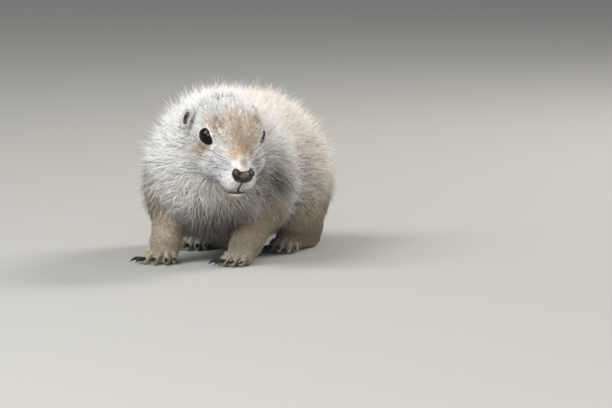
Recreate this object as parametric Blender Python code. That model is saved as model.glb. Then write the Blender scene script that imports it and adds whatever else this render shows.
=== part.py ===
"""A young prairie dog standing on all fours with its head turned to its left, as a life-size museum model.

The animal faces -Y, its left side is +X, and its feet stand on flats at z = 0. Every form is the outside of
the coat. Soft forms are level sets: rounded primitives with named sizes, blended where flesh runs together,
sampled on a grid and meshed by OpenVDB. Booleans then part the body and cut eye sockets, mouth and nostrils.
"""

import math

import bmesh
import bpy
import numpy as np
import openvdb
from mathutils import Matrix, Vector

MM = 0.001

# Driving sizes of the pup, in millimetres before scaling by MM
GAP = 0.3 * MM                 # clear gap kept between touching nodes
TORSO_HALF_WIDTH = 35 * MM
EYE_RADIUS = 4.5 * MM
EYE_SPACING = 30.1 * MM        # between the fronts of the two eyes

# Pose of the head: where the point midway between the eyes stands, and how the head is turned
HEAD_AT = (19.7 * MM, -78.0 * MM, 60.9 * MM)
HEAD_TURN = math.radians(39)   # to the animal's left
HEAD_BOW = math.radians(29)    # nose down
HEAD_TILT = math.radians(0.5)  # left side down

# Grid steps of the level sets: the head and feet carry finer forms than the body
BODY_STEP = 1.5 * MM
LIMB_STEP = 1.15 * MM
HEAD_STEP = 0.75 * MM
FOOT_STEP = 0.6 * MM
FINE_STEP = 0.4 * MM
NEAR_STEPS = 7                 # grid steps from a surface within which a level set is worked out finely

# Faces kept for each kind of node
FACES = {
    "torso": 2100, "neck": 1300, "head": 4500, "nose": 480, "ear": 280,
    "foreleg": 600, "hindleg": 960, "forefoot": 660, "hindfoot": 720, "tail": 860,
    "toe_room": 150, "nose_room": 320, "scalp": 900,
}

# Colours in linear light
COAT = (0.72, 0.63, 0.50)
DARK_TAIL = (0.10, 0.08, 0.07)
FOOT_FUR = (0.66, 0.57, 0.42)
EAR_FUR = (0.50, 0.42, 0.34)
NOSE_SKIN = (0.09, 0.06, 0.05)
EYE_BLACK = (0.01, 0.01, 0.012)
CLAW_HORN = (0.05, 0.05, 0.055)


def mm(*values):
    """A point or size given in millimetres, in metres."""
    return np.array(values, float) * MM


def unit(vector):
    vector = np.asarray(vector, float)
    return vector / np.linalg.norm(vector)


def head_axes():
    """Rows: forward to the nose, to the animal's left, and up through the crown."""
    level = np.array([math.sin(HEAD_TURN), -math.cos(HEAD_TURN), 0.0])
    up = np.array([0.0, 0.0, 1.0])
    forward = level * math.cos(HEAD_BOW) - up * math.sin(HEAD_BOW)
    crown = level * math.sin(HEAD_BOW) + up * math.cos(HEAD_BOW)
    left = np.cross(crown, forward)
    tilted_left = left * math.cos(HEAD_TILT) - crown * math.sin(HEAD_TILT)
    return np.array([forward, tilted_left, np.cross(forward, tilted_left)])


HEAD_AXES = head_axes()
HEAD_ORIGIN = np.array(HEAD_AT)


def from_head(*values):
    """A point given in millimetres forward, left and up of the point between the eyes, in the world."""
    return HEAD_ORIGIN + mm(*values) @ HEAD_AXES


# Level sets: each takes points (n, 3) in metres and gives the distance to its surface, negative inside


def ellipsoid(points, centre, radii, axes=None):
    local = points - np.asarray(centre)
    if axes is not None:
        local = local @ np.asarray(axes).T
    scaled = np.linalg.norm(local / radii, axis=1)
    slope = np.linalg.norm(local / np.square(radii), axis=1) + 1e-9
    return scaled * (scaled - 1) / slope


def limb(points, start, end, start_radius, end_radius):
    """A straight limb with round ends, tapering from one radius to the other."""
    start, run = np.asarray(start), np.asarray(end) - np.asarray(start)
    share = np.clip((points - start) @ run / (run @ run), 0, 1)
    nearest = start + share[:, None] * run
    return np.linalg.norm(points - nearest, axis=1) - (start_radius + share * (end_radius - start_radius))


def blend(first, second, width):
    """The smooth union of two level sets, with a fillet about as wide as width."""
    share = np.clip(0.5 + 0.5 * (second - first) / width, 0, 1)
    return second * (1 - share) + first * share - width * share * (1 - share)


def carve(body, tool, width):
    """The body less the tool, with its edge rounded over about width."""
    return -blend(-body, tool, width)


def blended(fields, width):
    """Several level sets joined one after another with the same fillet."""
    result = fields[0]
    for field in fields[1:]:
        result = blend(result, field, width)
    return result


def bent_limb(points, path, radii, width):
    """A limb along several joints, with a fillet at each bend."""
    pieces = [limb(points, a, b, ra, rb) for a, b, ra, rb in zip(path, path[1:], radii, radii[1:])]
    return blended(pieces, width)


# The torso, neck and tail


def torso_field(points):
    rump = ellipsoid(points, mm(-1, 30, 41.5), np.array([TORSO_HALF_WIDTH, 44 * MM, 31.5 * MM]))
    chest = ellipsoid(points, mm(0, -23, 43), mm(33.5, 40, 32))
    belly = ellipsoid(points, mm(-1, 3, 30), mm(28, 46, 24.5))
    saddle = ellipsoid(points, mm(-1, 10, 52.5), mm(26, 46, 20))
    return blended([rump, chest, belly, saddle], 12 * MM)


def neck_field(points):
    nape = limb(points, mm(0, -36, 52), from_head(-17, 0, -2), 27 * MM, 15 * MM)
    throat = limb(points, mm(3, -43, 36), from_head(-8, 0, -12), 21 * MM, 10 * MM)
    return blend(nape, throat, 8 * MM)


TAIL_PATH = [mm(-1, 66, 24), mm(-2, 79, 19), mm(-4.5, 92, 14), mm(-8, 104, 10.5), mm(-11, 113, 8.5)]
TAIL_RADII = [9 * MM, 7.6 * MM, 7.2 * MM, 6.6 * MM, 4.6 * MM]
TAIL_END = mm(-14, 121, 7.5)
TAIL_END_RADIUS = 1.2 * MM


def tail_field(points):
    """A short brush that droops behind the rump."""
    return bent_limb(points, [*TAIL_PATH, TAIL_END], [*TAIL_RADII, TAIL_END_RADIUS], 4 * MM)


# The legs. Each side has its own joints, because the pup stands unevenly

FORELEGS = {
    "right": {"shoulder": mm(-22, -32, 38), "elbow": mm(-22, -33, 24), "wrist": mm(-21.0, -47, 9.5),
              "paw": mm(-21.0, -51.0, 3.6), "heading": -96, "spread": 17},
    "left": {"shoulder": mm(22, -32, 38), "elbow": mm(21, -32, 24), "wrist": mm(17.0, -47, 9.5),
             "paw": mm(15.8, -51.5, 3.6), "heading": -117, "spread": 11},
}
HINDLEGS = {
    "right": {"hip": mm(-23, 36, 31), "knee": mm(-25, 18, 20), "heel": mm(-24, 44, 5.2),
              "paw": mm(-24.5, 19, 4.0), "heading": -94, "spread": 11},
    "left": {"hip": mm(22.5, 36, 31), "knee": mm(24, 17, 20), "heel": mm(22, 42, 5.2),
             "paw": mm(20.5, 17, 4.0), "heading": -96, "spread": 11},
}


def foreleg_field(points, side):
    leg = FORELEGS[side]
    shoulder = ellipsoid(points, leg["shoulder"], mm(12.5, 18, 21))
    arm = bent_limb(
        points, [leg["shoulder"], leg["elbow"], leg["wrist"], leg["paw"]],
        [11 * MM, 9 * MM, 5.6 * MM, 4.2 * MM], 3 * MM,
    )
    return blend(shoulder, arm, 6 * MM)


def hindleg_field(points, side):
    leg = HINDLEGS[side]
    haunch = ellipsoid(points, leg["hip"] + mm(0, -1, -1), mm(12.5, 25, 22))
    shank = bent_limb(points, [leg["knee"], leg["heel"]], [11 * MM, 5.8 * MM], 3 * MM)
    return blend(haunch, shank, 6 * MM)


# The feet. A toe runs from the palm over a raised knuckle to a pad on the floor. Lists run from the thumb out

TOE_SLOTS = (-1.9, -1.0, 0.0, 1.0, 1.9)            # places across the paw, in toe widths
FORE_TOES = {"lengths": mm(3.2, 8.2, 9.6, 8.8, 6.4), "sizes": (0.75, 0.95, 1.0, 0.97, 0.85)}
HIND_TOES = {"lengths": mm(6.4, 9.4, 10.2, 9.4, 6.0), "sizes": (0.82, 0.97, 1.0, 0.97, 0.82)}
TOE_PITCH = 2.15 * MM                              # from one toe's root to the next
TOE_RADIUS = 1.85 * MM
TOE_ROOT_RADIUS = 2.5 * MM
KNUCKLE_HEIGHT = 4.3 * MM
TOE_TIP_HEIGHT = 1.5 * MM
FORE_CLAW_LENGTH = 7.2 * MM
HIND_CLAW_LENGTH = 5.8 * MM


def toes_of(leg, toes, side):
    """Each toe as its root, knuckle, tip, heading and size. Slots count from the thumb's side outwards."""
    across_sign = 1 if side == "left" else -1
    middle = math.radians(leg["heading"])
    across = np.array([-math.sin(middle), math.cos(middle), 0.0]) * across_sign
    for slot, length, size in zip(TOE_SLOTS, toes["lengths"], toes["sizes"]):
        angle = math.radians(leg["heading"] + across_sign * slot * leg["spread"])
        ahead = np.array([math.cos(angle), math.sin(angle), 0.0])
        root = leg["paw"] + across * slot * TOE_PITCH
        knuckle = root + ahead * (0.5 * length + 1.2 * MM)
        knuckle[2] = KNUCKLE_HEIGHT * (0.75 + 0.25 * size)
        tip = root + ahead * (length + 2.2 * MM)
        tip[2] = TOE_TIP_HEIGHT * size
        yield root, knuckle, tip, ahead, size


def paw_field(points, leg, toes, side):
    palm = ellipsoid(points, leg["paw"] + mm(0, 0, 0.2), mm(5.2, 5.4, 4.3))
    digits = []
    for root, knuckle, tip, ahead, size in toes_of(leg, toes, side):
        radii = [TOE_ROOT_RADIUS, TOE_RADIUS * size, TOE_RADIUS * size * 0.86]
        digits.append(bent_limb(points, [root, knuckle, tip], radii, 1.0 * MM))
    return blend(palm, np.minimum.reduce(digits), 1.6 * MM)


def forefoot_field(points, side):
    return blend(paw_field(points, FORELEGS[side], FORE_TOES, side), foreleg_field(points, side), 2.5 * MM)


def hindfoot_field(points, side):
    leg = HINDLEGS[side]
    sole = limb(points, leg["heel"], leg["paw"], 5.6 * MM, 4.4 * MM)
    foot = blend(paw_field(points, leg, HIND_TOES, side), sole, 2 * MM)
    return blend(foot, hindleg_field(points, side), 3 * MM)


# The head, in its own axes: forward, left and up of the point between the eyes

EYE_AXIS = unit([0.49, 0.85, 0.17])      # where the left eye looks
LID_SLIT = np.array([1.0, 0.0, -0.2])    # the slit of the lids runs forward and a little down
EYE_LONG = unit(np.cross(np.cross(EYE_AXIS, LID_SLIT), EYE_AXIS))
EYE_SHORT = np.cross(EYE_AXIS, EYE_LONG)
EYE_CENTRE = np.array([0, EYE_SPACING / 2, 0]) - EYE_AXIS * (EYE_RADIUS - 0.1 * MM)
LID_HALF_LENGTH = 4.35 * MM
LID_HALF_HEIGHT = 4.0 * MM
LID_RADIUS = 0.75 * MM
LID_FORWARD = 2.1 * MM          # from the middle of the eye to the ring of the lids
NOSE_TIP = mm(19.2, 0, -9.6)
LIP_HEIGHT = -19.9 * MM          # of the line between the lips, at its lowest


def in_head(points):
    return (points - HEAD_ORIGIN) @ HEAD_AXES.T


def folded(local):
    """Head points with both sides folded onto the left one, as the head's two sides are alike."""
    return np.column_stack([local[:, 0], np.abs(local[:, 1]), local[:, 2]])


def eye_frame(side):
    """Centre and axes (look, long, short) of an eye in head axes."""
    mirror = np.array([1.0, side, 1.0])
    return EYE_CENTRE * mirror, EYE_AXIS * mirror, EYE_LONG * mirror, EYE_SHORT * mirror


def skull_field(side):
    """The head's soft form before eyes, nose and mouth, from points already folded onto the left side."""
    cranium = ellipsoid(side, mm(-10, 0, -2.4), mm(17.5, 15.6, 14.9))
    brow = ellipsoid(side, mm(-1, 5.5, 4), mm(9.5, 7.5, 6.5))
    cheek = ellipsoid(side, mm(-6, 8.6, -11.5), mm(14, 10, 10.6))
    bridge = limb(side, mm(-1, 0, -1.5), mm(13.7, 0, -8.7), 10.5 * MM, 4.2 * MM)
    muzzle = limb(side, mm(2, 0, -8.5), mm(11.7, 0, -12.5), 11.0 * MM, 5.7 * MM)
    whisker_pad = ellipsoid(side, mm(12.6, 3.8, -15.0), mm(5.8, 4.3, 4.9))
    jaw = limb(side, mm(-4, 0, -14), mm(10.3, 0, -18.7), 10.8 * MM, 4.6 * MM)
    chin = ellipsoid(side, mm(12.0, 0, -21.3), mm(5.0, 4.5, 3.4))
    form = blended([cranium, brow, cheek, muzzle], 6 * MM)
    form = blend(form, bridge, 4 * MM)
    form = blend(form, jaw, 3.5 * MM)
    form = blend(form, whisker_pad, 2.2 * MM)
    return blend(form, chin, 2 * MM)


def lid_field(side):
    """The raised rim round the left eye."""
    centre, look, long, short = eye_frame(1)
    local = side - (centre + look * LID_FORWARD)
    along, over, out = local @ (long / LID_HALF_LENGTH), local @ (short / LID_HALF_HEIGHT), local @ look
    ring = (np.hypot(along, over) - 1) * 0.5 * (LID_HALF_LENGTH + LID_HALF_HEIGHT)
    curved = out + 0.35 * MM * np.square(along)
    return np.hypot(ring, curved) - LID_RADIUS


def eye_opening(side):
    """The oval tube in front of the left eye, drawn to a point at its front corner."""
    centre, look, long, short = eye_frame(1)
    local = side - centre
    along, over, out = local @ long, local @ short, local @ look
    corner = np.clip(along / LID_HALF_LENGTH, 0, 1.6)
    half_height = (LID_HALF_HEIGHT - 0.55 * MM) * (1 - 0.24 * corner**2)
    oval = np.hypot(along / (LID_HALF_LENGTH - 0.35 * MM), over / half_height) - 1
    return np.maximum(oval * LID_HALF_HEIGHT, 1.0 * MM - out)


def head_field(points):
    side = folded(in_head(points))
    form = skull_field(side)
    dish = ellipsoid(side, EYE_CENTRE + EYE_AXIS * (LID_FORWARD + 6.6 * MM), mm(7.0, 7.0, 7.0))
    form = carve(form, dish, 2.5 * MM)
    form = blend(form, lid_field(side), 1.0 * MM)
    return carve(form, eye_opening(side), 0.5 * MM)


def flesh_field(points):
    """The whole outside of the coat apart from the feet, nose and ears."""
    form = blend(torso_field(points), neck_field(points), 10 * MM)
    for side in ("left", "right"):
        form = blend(form, foreleg_field(points, side), 5 * MM)
        form = blend(form, hindleg_field(points, side), 5 * MM)
    form = blend(form, tail_field(points), 5 * MM)
    return blend(form, head_field(points), 4 * MM)


# From a level set to a closed mesh


def grid_points(low, step, counts):
    """The points of a regular grid that starts at a corner."""
    ticks = [low[i] + step * np.arange(counts[i]) for i in range(3)]
    return np.stack(np.meshgrid(*ticks, indexing="ij"), axis=-1)


def sampled(field, low, step, counts, block_size=4):
    """A level set on a grid, worked out finely only in the blocks of the grid that its surface may cross."""
    coarse_counts = -(-counts // block_size)
    middles = grid_points(low + step * (block_size - 1) / 2, step * block_size, coarse_counts)
    coarse = field(middles.reshape(-1, 3)).reshape(coarse_counts)
    values = coarse
    for axis in range(3):
        values = np.repeat(values, block_size, axis=axis)
    values = values[: counts[0], : counts[1], : counts[2]].copy()
    near = np.abs(values) < NEAR_STEPS * step
    values[near] = field(grid_points(low, step, counts)[near])
    return values


def mesh_of(name, field, low, high, step, level=0.0):
    """The closed surface where a level set is at a level, inside a box."""
    low, high = np.asarray(low), np.asarray(high)
    counts = np.ceil((high - low) / step).astype(int) + 1
    middle, half = (low + high) / 2, (high - low) / 2 - 1.5 * step
    box = (np.abs(grid_points(low, step, counts) - middle) - half).max(axis=-1)
    values = np.maximum(sampled(field, low, step, counts) - level, box) / step
    volume = openvdb.FloatGrid()
    volume.copyFromArray(np.clip(values, -3, 3).astype(np.float32))
    vertices, quads = volume.convertToQuads(isovalue=0.0)
    mesh = bpy.data.meshes.new(name)
    mesh.from_pydata((low + vertices * step).tolist(), [], quads.tolist())
    mesh.validate()
    return link(name, mesh)


def link(name, mesh):
    made = bpy.data.objects.new(name, mesh)
    bpy.context.scene.collection.objects.link(made)
    return made


def remove(*objects):
    for used in objects:
        bpy.data.objects.remove(used)


def apply_modifiers(target):
    """The mesh as its modifiers leave it, with the modifiers gone."""
    graph = bpy.context.evaluated_depsgraph_get()
    mesh = bpy.data.meshes.new_from_object(target.evaluated_get(graph))
    target.modifiers.clear()
    target.data = mesh
    return target


def thin_out(target, faces):
    """Fewer triangles, most of them kept where the form bends."""
    target.data.update()
    modifier = target.modifiers.new("thin", "DECIMATE")
    triangles = sum(len(polygon.vertices) - 2 for polygon in target.data.polygons)
    modifier.ratio = min(1.0, faces / triangles)
    modifier.use_collapse_triangulate = True
    return apply_modifiers(target)


def boolean(target, tool, operation):
    modifier = target.modifiers.new(operation.lower(), "BOOLEAN")
    modifier.operation = operation
    modifier.object = tool
    modifier.solver = "EXACT"
    return apply_modifiers(target)


def keep_largest(target):
    """Only the largest closed surface of a mesh, without the scraps that a cut leaves."""
    form = bmesh.new()
    form.from_mesh(target.data)
    bmesh.ops.remove_doubles(form, verts=form.verts, dist=1e-7)
    seen, shells = set(), []
    for first in form.verts:
        if first in seen:
            continue
        shell, edge = {first}, [first]
        while edge:
            for link_edge in edge.pop().link_edges:
                for vertex in link_edge.verts:
                    if vertex not in shell:
                        shell.add(vertex)
                        edge.append(vertex)
        seen |= shell
        shells.append(shell)
    largest = max(shells, key=len)
    bmesh.ops.delete(form, geom=[v for v in form.verts if v not in largest], context="VERTS")
    form.to_mesh(target.data)
    form.free()
    return target


def block(name, floor_corners, roof_corners):
    """A cutter with four corners below and four above, both given anticlockwise from above."""
    corners = [*floor_corners, *roof_corners]
    faces = [(3, 2, 1, 0), (4, 5, 6, 7), (0, 1, 5, 4), (1, 2, 6, 5), (2, 3, 7, 6), (3, 0, 4, 7)]
    mesh = bpy.data.meshes.new(name)
    mesh.from_pydata([tuple(corner) for corner in corners], [], faces)
    form = bmesh.new()
    form.from_mesh(mesh)
    bmesh.ops.recalc_face_normals(form, faces=form.faces)
    form.to_mesh(mesh)
    form.free()
    return link(name, mesh)


def half_space(name, point, normal, reach=0.4):
    """A large block that fills the side of a plane to which the normal points."""
    normal = unit(normal)
    aside = unit(np.cross(normal, [0.31, 0.17, 0.93]))
    along = np.cross(normal, aside)
    corners = ((-1, -1), (1, -1), (1, 1), (-1, 1))
    base = [np.asarray(point) + reach * (i * aside + j * along) for i, j in corners]
    return block(name, base, [corner + normal * reach for corner in base])


def keep_side(target, point, normal, offset=0.0):
    """The part of a mesh on the side of a plane to which the normal points, cut offset further in."""
    tool = half_space("side_cutter", np.asarray(point) + unit(normal) * offset, normal)
    boolean(target, tool, "INTERSECT")
    remove(tool)
    return target


def leg_block(side, inner_floor, inner_roof, back, front, roof, grow=0.0):
    """The region that holds a leg: its inner face leans outwards as it rises to the shoulder or hip."""
    sign = 1 if side == "left" else -1
    floor_z, outer = -8 * MM, 60 * MM
    inner_floor, inner_roof = inner_floor - grow, inner_roof - grow
    back, front, roof = back + grow, front - grow, roof + grow
    floor_corners = [(sign * inner_floor, front, floor_z), (sign * outer, front, floor_z),
                     (sign * outer, back, floor_z), (sign * inner_floor, back, floor_z)]
    roof_corners = [(sign * inner_roof, front, roof), (sign * outer, front, roof),
                    (sign * outer, back, roof), (sign * inner_roof, back, roof)]
    return block("leg_cutter", floor_corners, roof_corners)


FORELEG_REGION = {
    "inner_floor": -1 * MM, "inner_roof": 29 * MM, "back": -14 * MM, "front": -54.5 * MM, "roof": 46 * MM,
}
HINDLEG_REGION = {
    "inner_floor": 4 * MM, "inner_roof": 31 * MM, "back": 67 * MM, "front": -2 * MM, "roof": 52 * MM,
}

# Planes that part the body: a point and the direction of the part kept in front of it
NECK_CUT = (mm(4, -50, 52), np.array([0.22, -0.80, 0.56]))
HEAD_CUTS = [
    (from_head(-23, 0, -4), np.array([0.93, 0.0, 0.36]) @ HEAD_AXES),
    (from_head(-4, 0, -26.3), np.array([0.25, 0.0, 0.97]) @ HEAD_AXES),
    (from_head(-10, 20.5, -16), np.array([0.72, -0.58, 0.38]) @ HEAD_AXES),
]
TAIL_CUT = (mm(0, 70, 24), np.array([0.0, 1.0, -0.35]))
TAIL_TIP_CUT = (mm(-6.5, 99, 12), unit(TAIL_PATH[3] - TAIL_PATH[2]))
WRIST_HEIGHT = 12.5 * MM
ANKLE_HEIGHT = 10.5 * MM


def material(name, colour, roughness, metallic=0.0):
    made = bpy.data.materials.new(name)
    made.use_nodes = True
    shader = made.node_tree.nodes["Principled BSDF"]
    shader.inputs["Base Color"].default_value = (*colour, 1.0)
    shader.inputs["Roughness"].default_value = roughness
    shader.inputs["Metallic"].default_value = metallic
    return made


def finish(target, name, look):
    """Names a node, gives it its material and shades it smooth."""
    target.name = name
    target.data.name = name
    target.data.materials.clear()
    target.data.materials.append(look)
    target.data.shade_smooth()
    target.data.set_sharp_from_angle(angle=math.radians(50))
    return target


def head_region():
    """The space that belongs to the head: in front of the nape, above the throat, clear of the shoulder."""
    region = half_space("head_cutter", HEAD_CUTS[0][0] - unit(HEAD_CUTS[0][1]) * GAP / 2, HEAD_CUTS[0][1])
    for point, normal in HEAD_CUTS[1:]:
        keep_side(region, point, normal, -GAP / 2)
    return region


def cut_away(target, tool):
    """The target less a cutter, which is used up."""
    boolean(target, tool, "DIFFERENCE")
    remove(tool)
    return target


def make_torso(look):
    body = mesh_of("torso", flesh_field, mm(-44, -72, 2), mm(44, 80, 84), BODY_STEP)
    thin_out(body, FACES["torso"])
    keep_side(body, NECK_CUT[0], -NECK_CUT[1], GAP / 2)
    keep_side(body, TAIL_CUT[0], -TAIL_CUT[1], GAP / 2)
    for side in ("left", "right"):
        cut_away(body, leg_block(side, **FORELEG_REGION, grow=GAP))
        cut_away(body, leg_block(side, **HINDLEG_REGION, grow=GAP))
    cut_away(body, head_region())
    return finish(keep_largest(body), "torso", look)


def make_neck(look):
    neck = mesh_of("neck", flesh_field, mm(-40, -98, 20), mm(50, -30, 90), BODY_STEP)
    thin_out(neck, FACES["neck"])
    keep_side(neck, *NECK_CUT, GAP / 2)
    for side in ("left", "right"):
        cut_away(neck, leg_block(side, **FORELEG_REGION, grow=GAP))
    cut_away(neck, head_region())
    return finish(keep_largest(neck), "neck", look)


def make_leg(name, side, region, foot_height, faces, look):
    sign = 1 if side == "left" else -1
    inner, outer = sorted((sign * 2 * MM, sign * 46 * MM))
    low = np.array([inner, region["front"], 4 * MM])
    high = np.array([outer, region["back"] + 4 * MM, region["roof"] + 4 * MM])
    leg = mesh_of(name, flesh_field, low, high, LIMB_STEP)
    thin_out(leg, faces)
    tool = leg_block(side, **region)
    boolean(leg, tool, "INTERSECT")
    remove(tool)
    keep_side(leg, (0, 0, foot_height + GAP / 2), (0, 0, 1))
    if name == "foreleg_left":
        cut_away(leg, head_region())
    return finish(keep_largest(leg), name, look)


def make_foot(name, side, field, low, high, top, faces, look):
    foot = mesh_of(name, lambda points: field(points, side), low, high, FOOT_STEP)
    thin_out(foot, faces)
    keep_side(foot, (0, 0, 0), (0, 0, 1))
    keep_side(foot, (0, 0, top - GAP / 2), (0, 0, -1))
    return finish(keep_largest(foot), name, look)


def make_tail(looks):
    """The tail in two lengths: its pale root and its dark end."""
    tail = mesh_of("tail", flesh_field, mm(-16, 60, -2), mm(32, 132, 44), LIMB_STEP)
    thin_out(tail, FACES["tail"])
    keep_side(tail, *TAIL_CUT, GAP / 2)
    tip = link("tail_tip", tail.data.copy())
    keep_side(tail, TAIL_TIP_CUT[0], -TAIL_TIP_CUT[1], GAP / 2)
    keep_side(tip, *TAIL_TIP_CUT, GAP / 2)
    return finish(keep_largest(tail), "tail", looks[0]), finish(keep_largest(tip), "tail_tip", looks[1])


# The nose, mouth, eyes and ears


def nose_field(points):
    """The nose pad: a rounded shield with a wing over each nostril."""
    side = folded(in_head(points))
    pad = ellipsoid(side, NOSE_TIP + mm(-1.7, 0, -0.9), mm(2.9, 3.5, 2.7))
    wing = ellipsoid(side, NOSE_TIP + mm(-2.7, 3.7, 0.3), mm(2.4, 1.6, 2.2))
    return blend(pad, wing, 1.1 * MM)


def nostril_field(points):
    """A comma-shaped slit under each wing, opening forward and to the side."""
    side = folded(in_head(points))
    path = [NOSE_TIP + mm(0.9, 2.1, -1.7), NOSE_TIP + mm(-0.4, 3.5, -1.5), NOSE_TIP + mm(-1.4, 5.2, 0.1)]
    return bent_limb(side, path, [0.8 * MM, 0.85 * MM, 0.6 * MM], 0.6 * MM)


MUZZLE_MIDDLE = 4 * MM          # how far ahead of the eyes the middle of the lips' bow lies
CUTTER_CLEAR = 3 * MM           # how far a cutter stands out of the surface it cuts


def face_reach(angle, height):
    """How far the face lies from the middle of the lips' bow, at an angle from straight ahead."""
    middle = np.array([MUZZLE_MIDDLE, 0.0, height])
    ahead = np.array([math.cos(angle), math.sin(angle), 0.0])
    reaches = np.arange(0, 30, 0.1) * MM
    local = middle + reaches[:, None] * ahead
    inside = head_field(HEAD_ORIGIN + local @ HEAD_AXES) < 0
    return reaches[inside].max()


def lip_height(angle):
    """The line of the mouth: lowest in front, rising a little towards its corners."""
    return LIP_HEIGHT + 1.2 * MM * math.sin(angle) ** 2


LIP_CORNER = 78                 # degrees from straight ahead to the corners of the mouth
LIP_DEPTH = 1.7 * MM
LIP_HALF_GAP = 0.32 * MM


def swept_cutter(name, sections):
    """A closed bar through sections of four points each, capped at both ends."""
    points = [HEAD_ORIGIN + np.array(corner) @ HEAD_AXES for section in sections for corner in section]
    faces = [(3, 2, 1, 0), tuple(len(points) - 4 + i for i in range(4))]
    for row in range(len(sections) - 1):
        for i in range(4):
            a, b = row * 4 + i, row * 4 + (i + 1) % 4
            faces.append((a, b, b + 4, a + 4))
    return closed_mesh(name, points, faces)


def mouth_cutter():
    """A thin bow-shaped plate that follows the lips, sunk into them less and less towards the corners."""
    sections = []
    for angle in np.radians(np.linspace(-LIP_CORNER, LIP_CORNER, 27)):
        height = lip_height(angle)
        reach = face_reach(abs(angle), height)
        inner = reach - LIP_DEPTH * (0.35 + 0.65 * math.cos(angle * 0.9))
        section = []
        for radius, rise in ((inner, 1), (reach + CUTTER_CLEAR, 1), (reach + CUTTER_CLEAR, -1), (inner, -1)):
            forward, left = MUZZLE_MIDDLE + radius * math.cos(angle), radius * math.sin(angle)
            section.append((forward, left, height + rise * LIP_HALF_GAP))
        sections.append(section)
    return swept_cutter("mouth_cutter", sections)


def closed_mesh(name, points, faces):
    mesh = bpy.data.meshes.new(name)
    mesh.from_pydata([tuple(point) for point in points], [], faces)
    form = bmesh.new()
    form.from_mesh(mesh)
    bmesh.ops.recalc_face_normals(form, faces=form.faces)
    form.to_mesh(mesh)
    form.free()
    return link(name, mesh)


def lip_cleft_cutter():
    """The upright slit from the nose to the mouth."""
    half_width, depth = 0.34 * MM, 1.3 * MM
    sections = []
    for height in np.linspace(NOSE_TIP[2] - 3.0 * MM, LIP_HEIGHT, 9):
        surface = MUZZLE_MIDDLE + face_reach(0.0, height)
        inner, outer = surface - depth, surface + CUTTER_CLEAR
        sections.append([(inner, -half_width, height), (outer, -half_width, height),
                         (outer, half_width, height), (inner, half_width, height)])
    return swept_cutter("cleft_cutter", sections)


def ball(name, centre, radius, segments=20, rings=12):
    mesh = bpy.data.meshes.new(name)
    form = bmesh.new()
    bmesh.ops.create_uvsphere(form, u_segments=segments, v_segments=rings, radius=radius)
    form.to_mesh(mesh)
    form.free()
    mesh.transform(Matrix.Translation(Vector(centre)))
    return link(name, mesh)


def make_head(look):
    reach = 40 * MM
    head = mesh_of("head", flesh_field, HEAD_ORIGIN - reach, HEAD_ORIGIN + reach, HEAD_STEP)
    thin_out(head, FACES["head"])
    for point, normal in HEAD_CUTS:
        keep_side(head, point, normal, GAP / 2)
    nose_middle = from_head(14, 0, -10)
    nose_room = mesh_of("nose_room", nose_field, nose_middle - 12 * MM, nose_middle + 12 * MM, FINE_STEP, GAP)
    thin_out(nose_room, FACES["nose_room"])
    tools = [nose_room, mouth_cutter(), lip_cleft_cutter()]
    for side in (1, -1):
        centre = eye_frame(side)[0]
        tools.append(ball("eye_room", HEAD_ORIGIN + centre @ HEAD_AXES, EYE_RADIUS + GAP))
    for tool in tools:
        boolean(head, tool, "DIFFERENCE")
    remove(*tools)
    return finish(keep_largest(head), "head", look)


def make_nose(look):
    def pierced_nose(points):
        return carve(nose_field(points), nostril_field(points), 0.25 * MM)

    middle = from_head(16, 0, -10)
    nose = mesh_of("nose", pierced_nose, middle - 9 * MM, middle + 9 * MM, 0.8 * FINE_STEP)
    thin_out(nose, FACES["nose"])
    return finish(keep_largest(nose), "nose", look)


def make_eye(side, look):
    centre = HEAD_ORIGIN + eye_frame(side)[0] @ HEAD_AXES
    return finish(ball("eye", centre, EYE_RADIUS), "eye_left" if side > 0 else "eye_right", look)


EAR_FROM = mm(-18.5, 6.0, -5.0)        # a point inside the head from which the ear is placed outwards
EAR_OUT = unit([0.0, 0.95, 0.30])     # where the left ear's cup opens
EAR_UP = unit([-0.30, 0.20, 0.93])
EAR_STAND = 0.6 * MM


def ear_axes():
    across = unit(np.cross(EAR_UP, EAR_OUT))
    return np.array([EAR_OUT, across, np.cross(EAR_OUT, across)])


def ear_base(side):
    """Where the ear's middle stands: on the coat, straight out from a point inside the head."""
    mirror = np.array([1, side, 1])
    reaches = np.arange(0, 30, 0.1) * MM
    local = EAR_FROM * mirror + reaches[:, None] * (EAR_OUT * mirror)
    inside = flesh_field(HEAD_ORIGIN + local @ HEAD_AXES) < 0
    return (EAR_FROM + (reaches[inside].max() + EAR_STAND) * EAR_OUT) * mirror


def ear_field(local, base):
    """A small round cup: a thick disc with a hollow towards its opening, in folded head axes."""
    axes = ear_axes()
    disc = ellipsoid(local, base, mm(2.7, 3.3, 4.1), axes)
    hollow = ellipsoid(local, base + EAR_OUT * 2.1 * MM - EAR_UP * 0.3 * MM, mm(2.7, 2.4, 3.1), axes)
    return carve(disc, hollow, 0.7 * MM)


def make_ear(side, look):
    name = "ear_left" if side > 0 else "ear_right"
    base = ear_base(side)
    middle = HEAD_ORIGIN + base @ HEAD_AXES
    folded_base = base * [1, side, 1]

    def this_ear(points):
        return ear_field(folded(in_head(points)), folded_base)

    ear = mesh_of(name, this_ear, middle - 8 * MM, middle + 8 * MM, FINE_STEP)
    thin_out(ear, FACES["ear"])
    scalp = mesh_of("scalp", flesh_field, middle - 13 * MM, middle + 13 * MM, HEAD_STEP, GAP)
    thin_out(scalp, FACES["scalp"])
    boolean(ear, scalp, "DIFFERENCE")
    remove(scalp)
    return finish(keep_largest(ear), name, look)


# Claws


CLAW_BASE_WIDTH = 2.3 * MM
CLAW_TIP_RADIUS = 0.27 * MM
CLAW_TIP_HEIGHT = 0.75 * MM
CLAW_ARCH = 0.9 * MM


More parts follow.
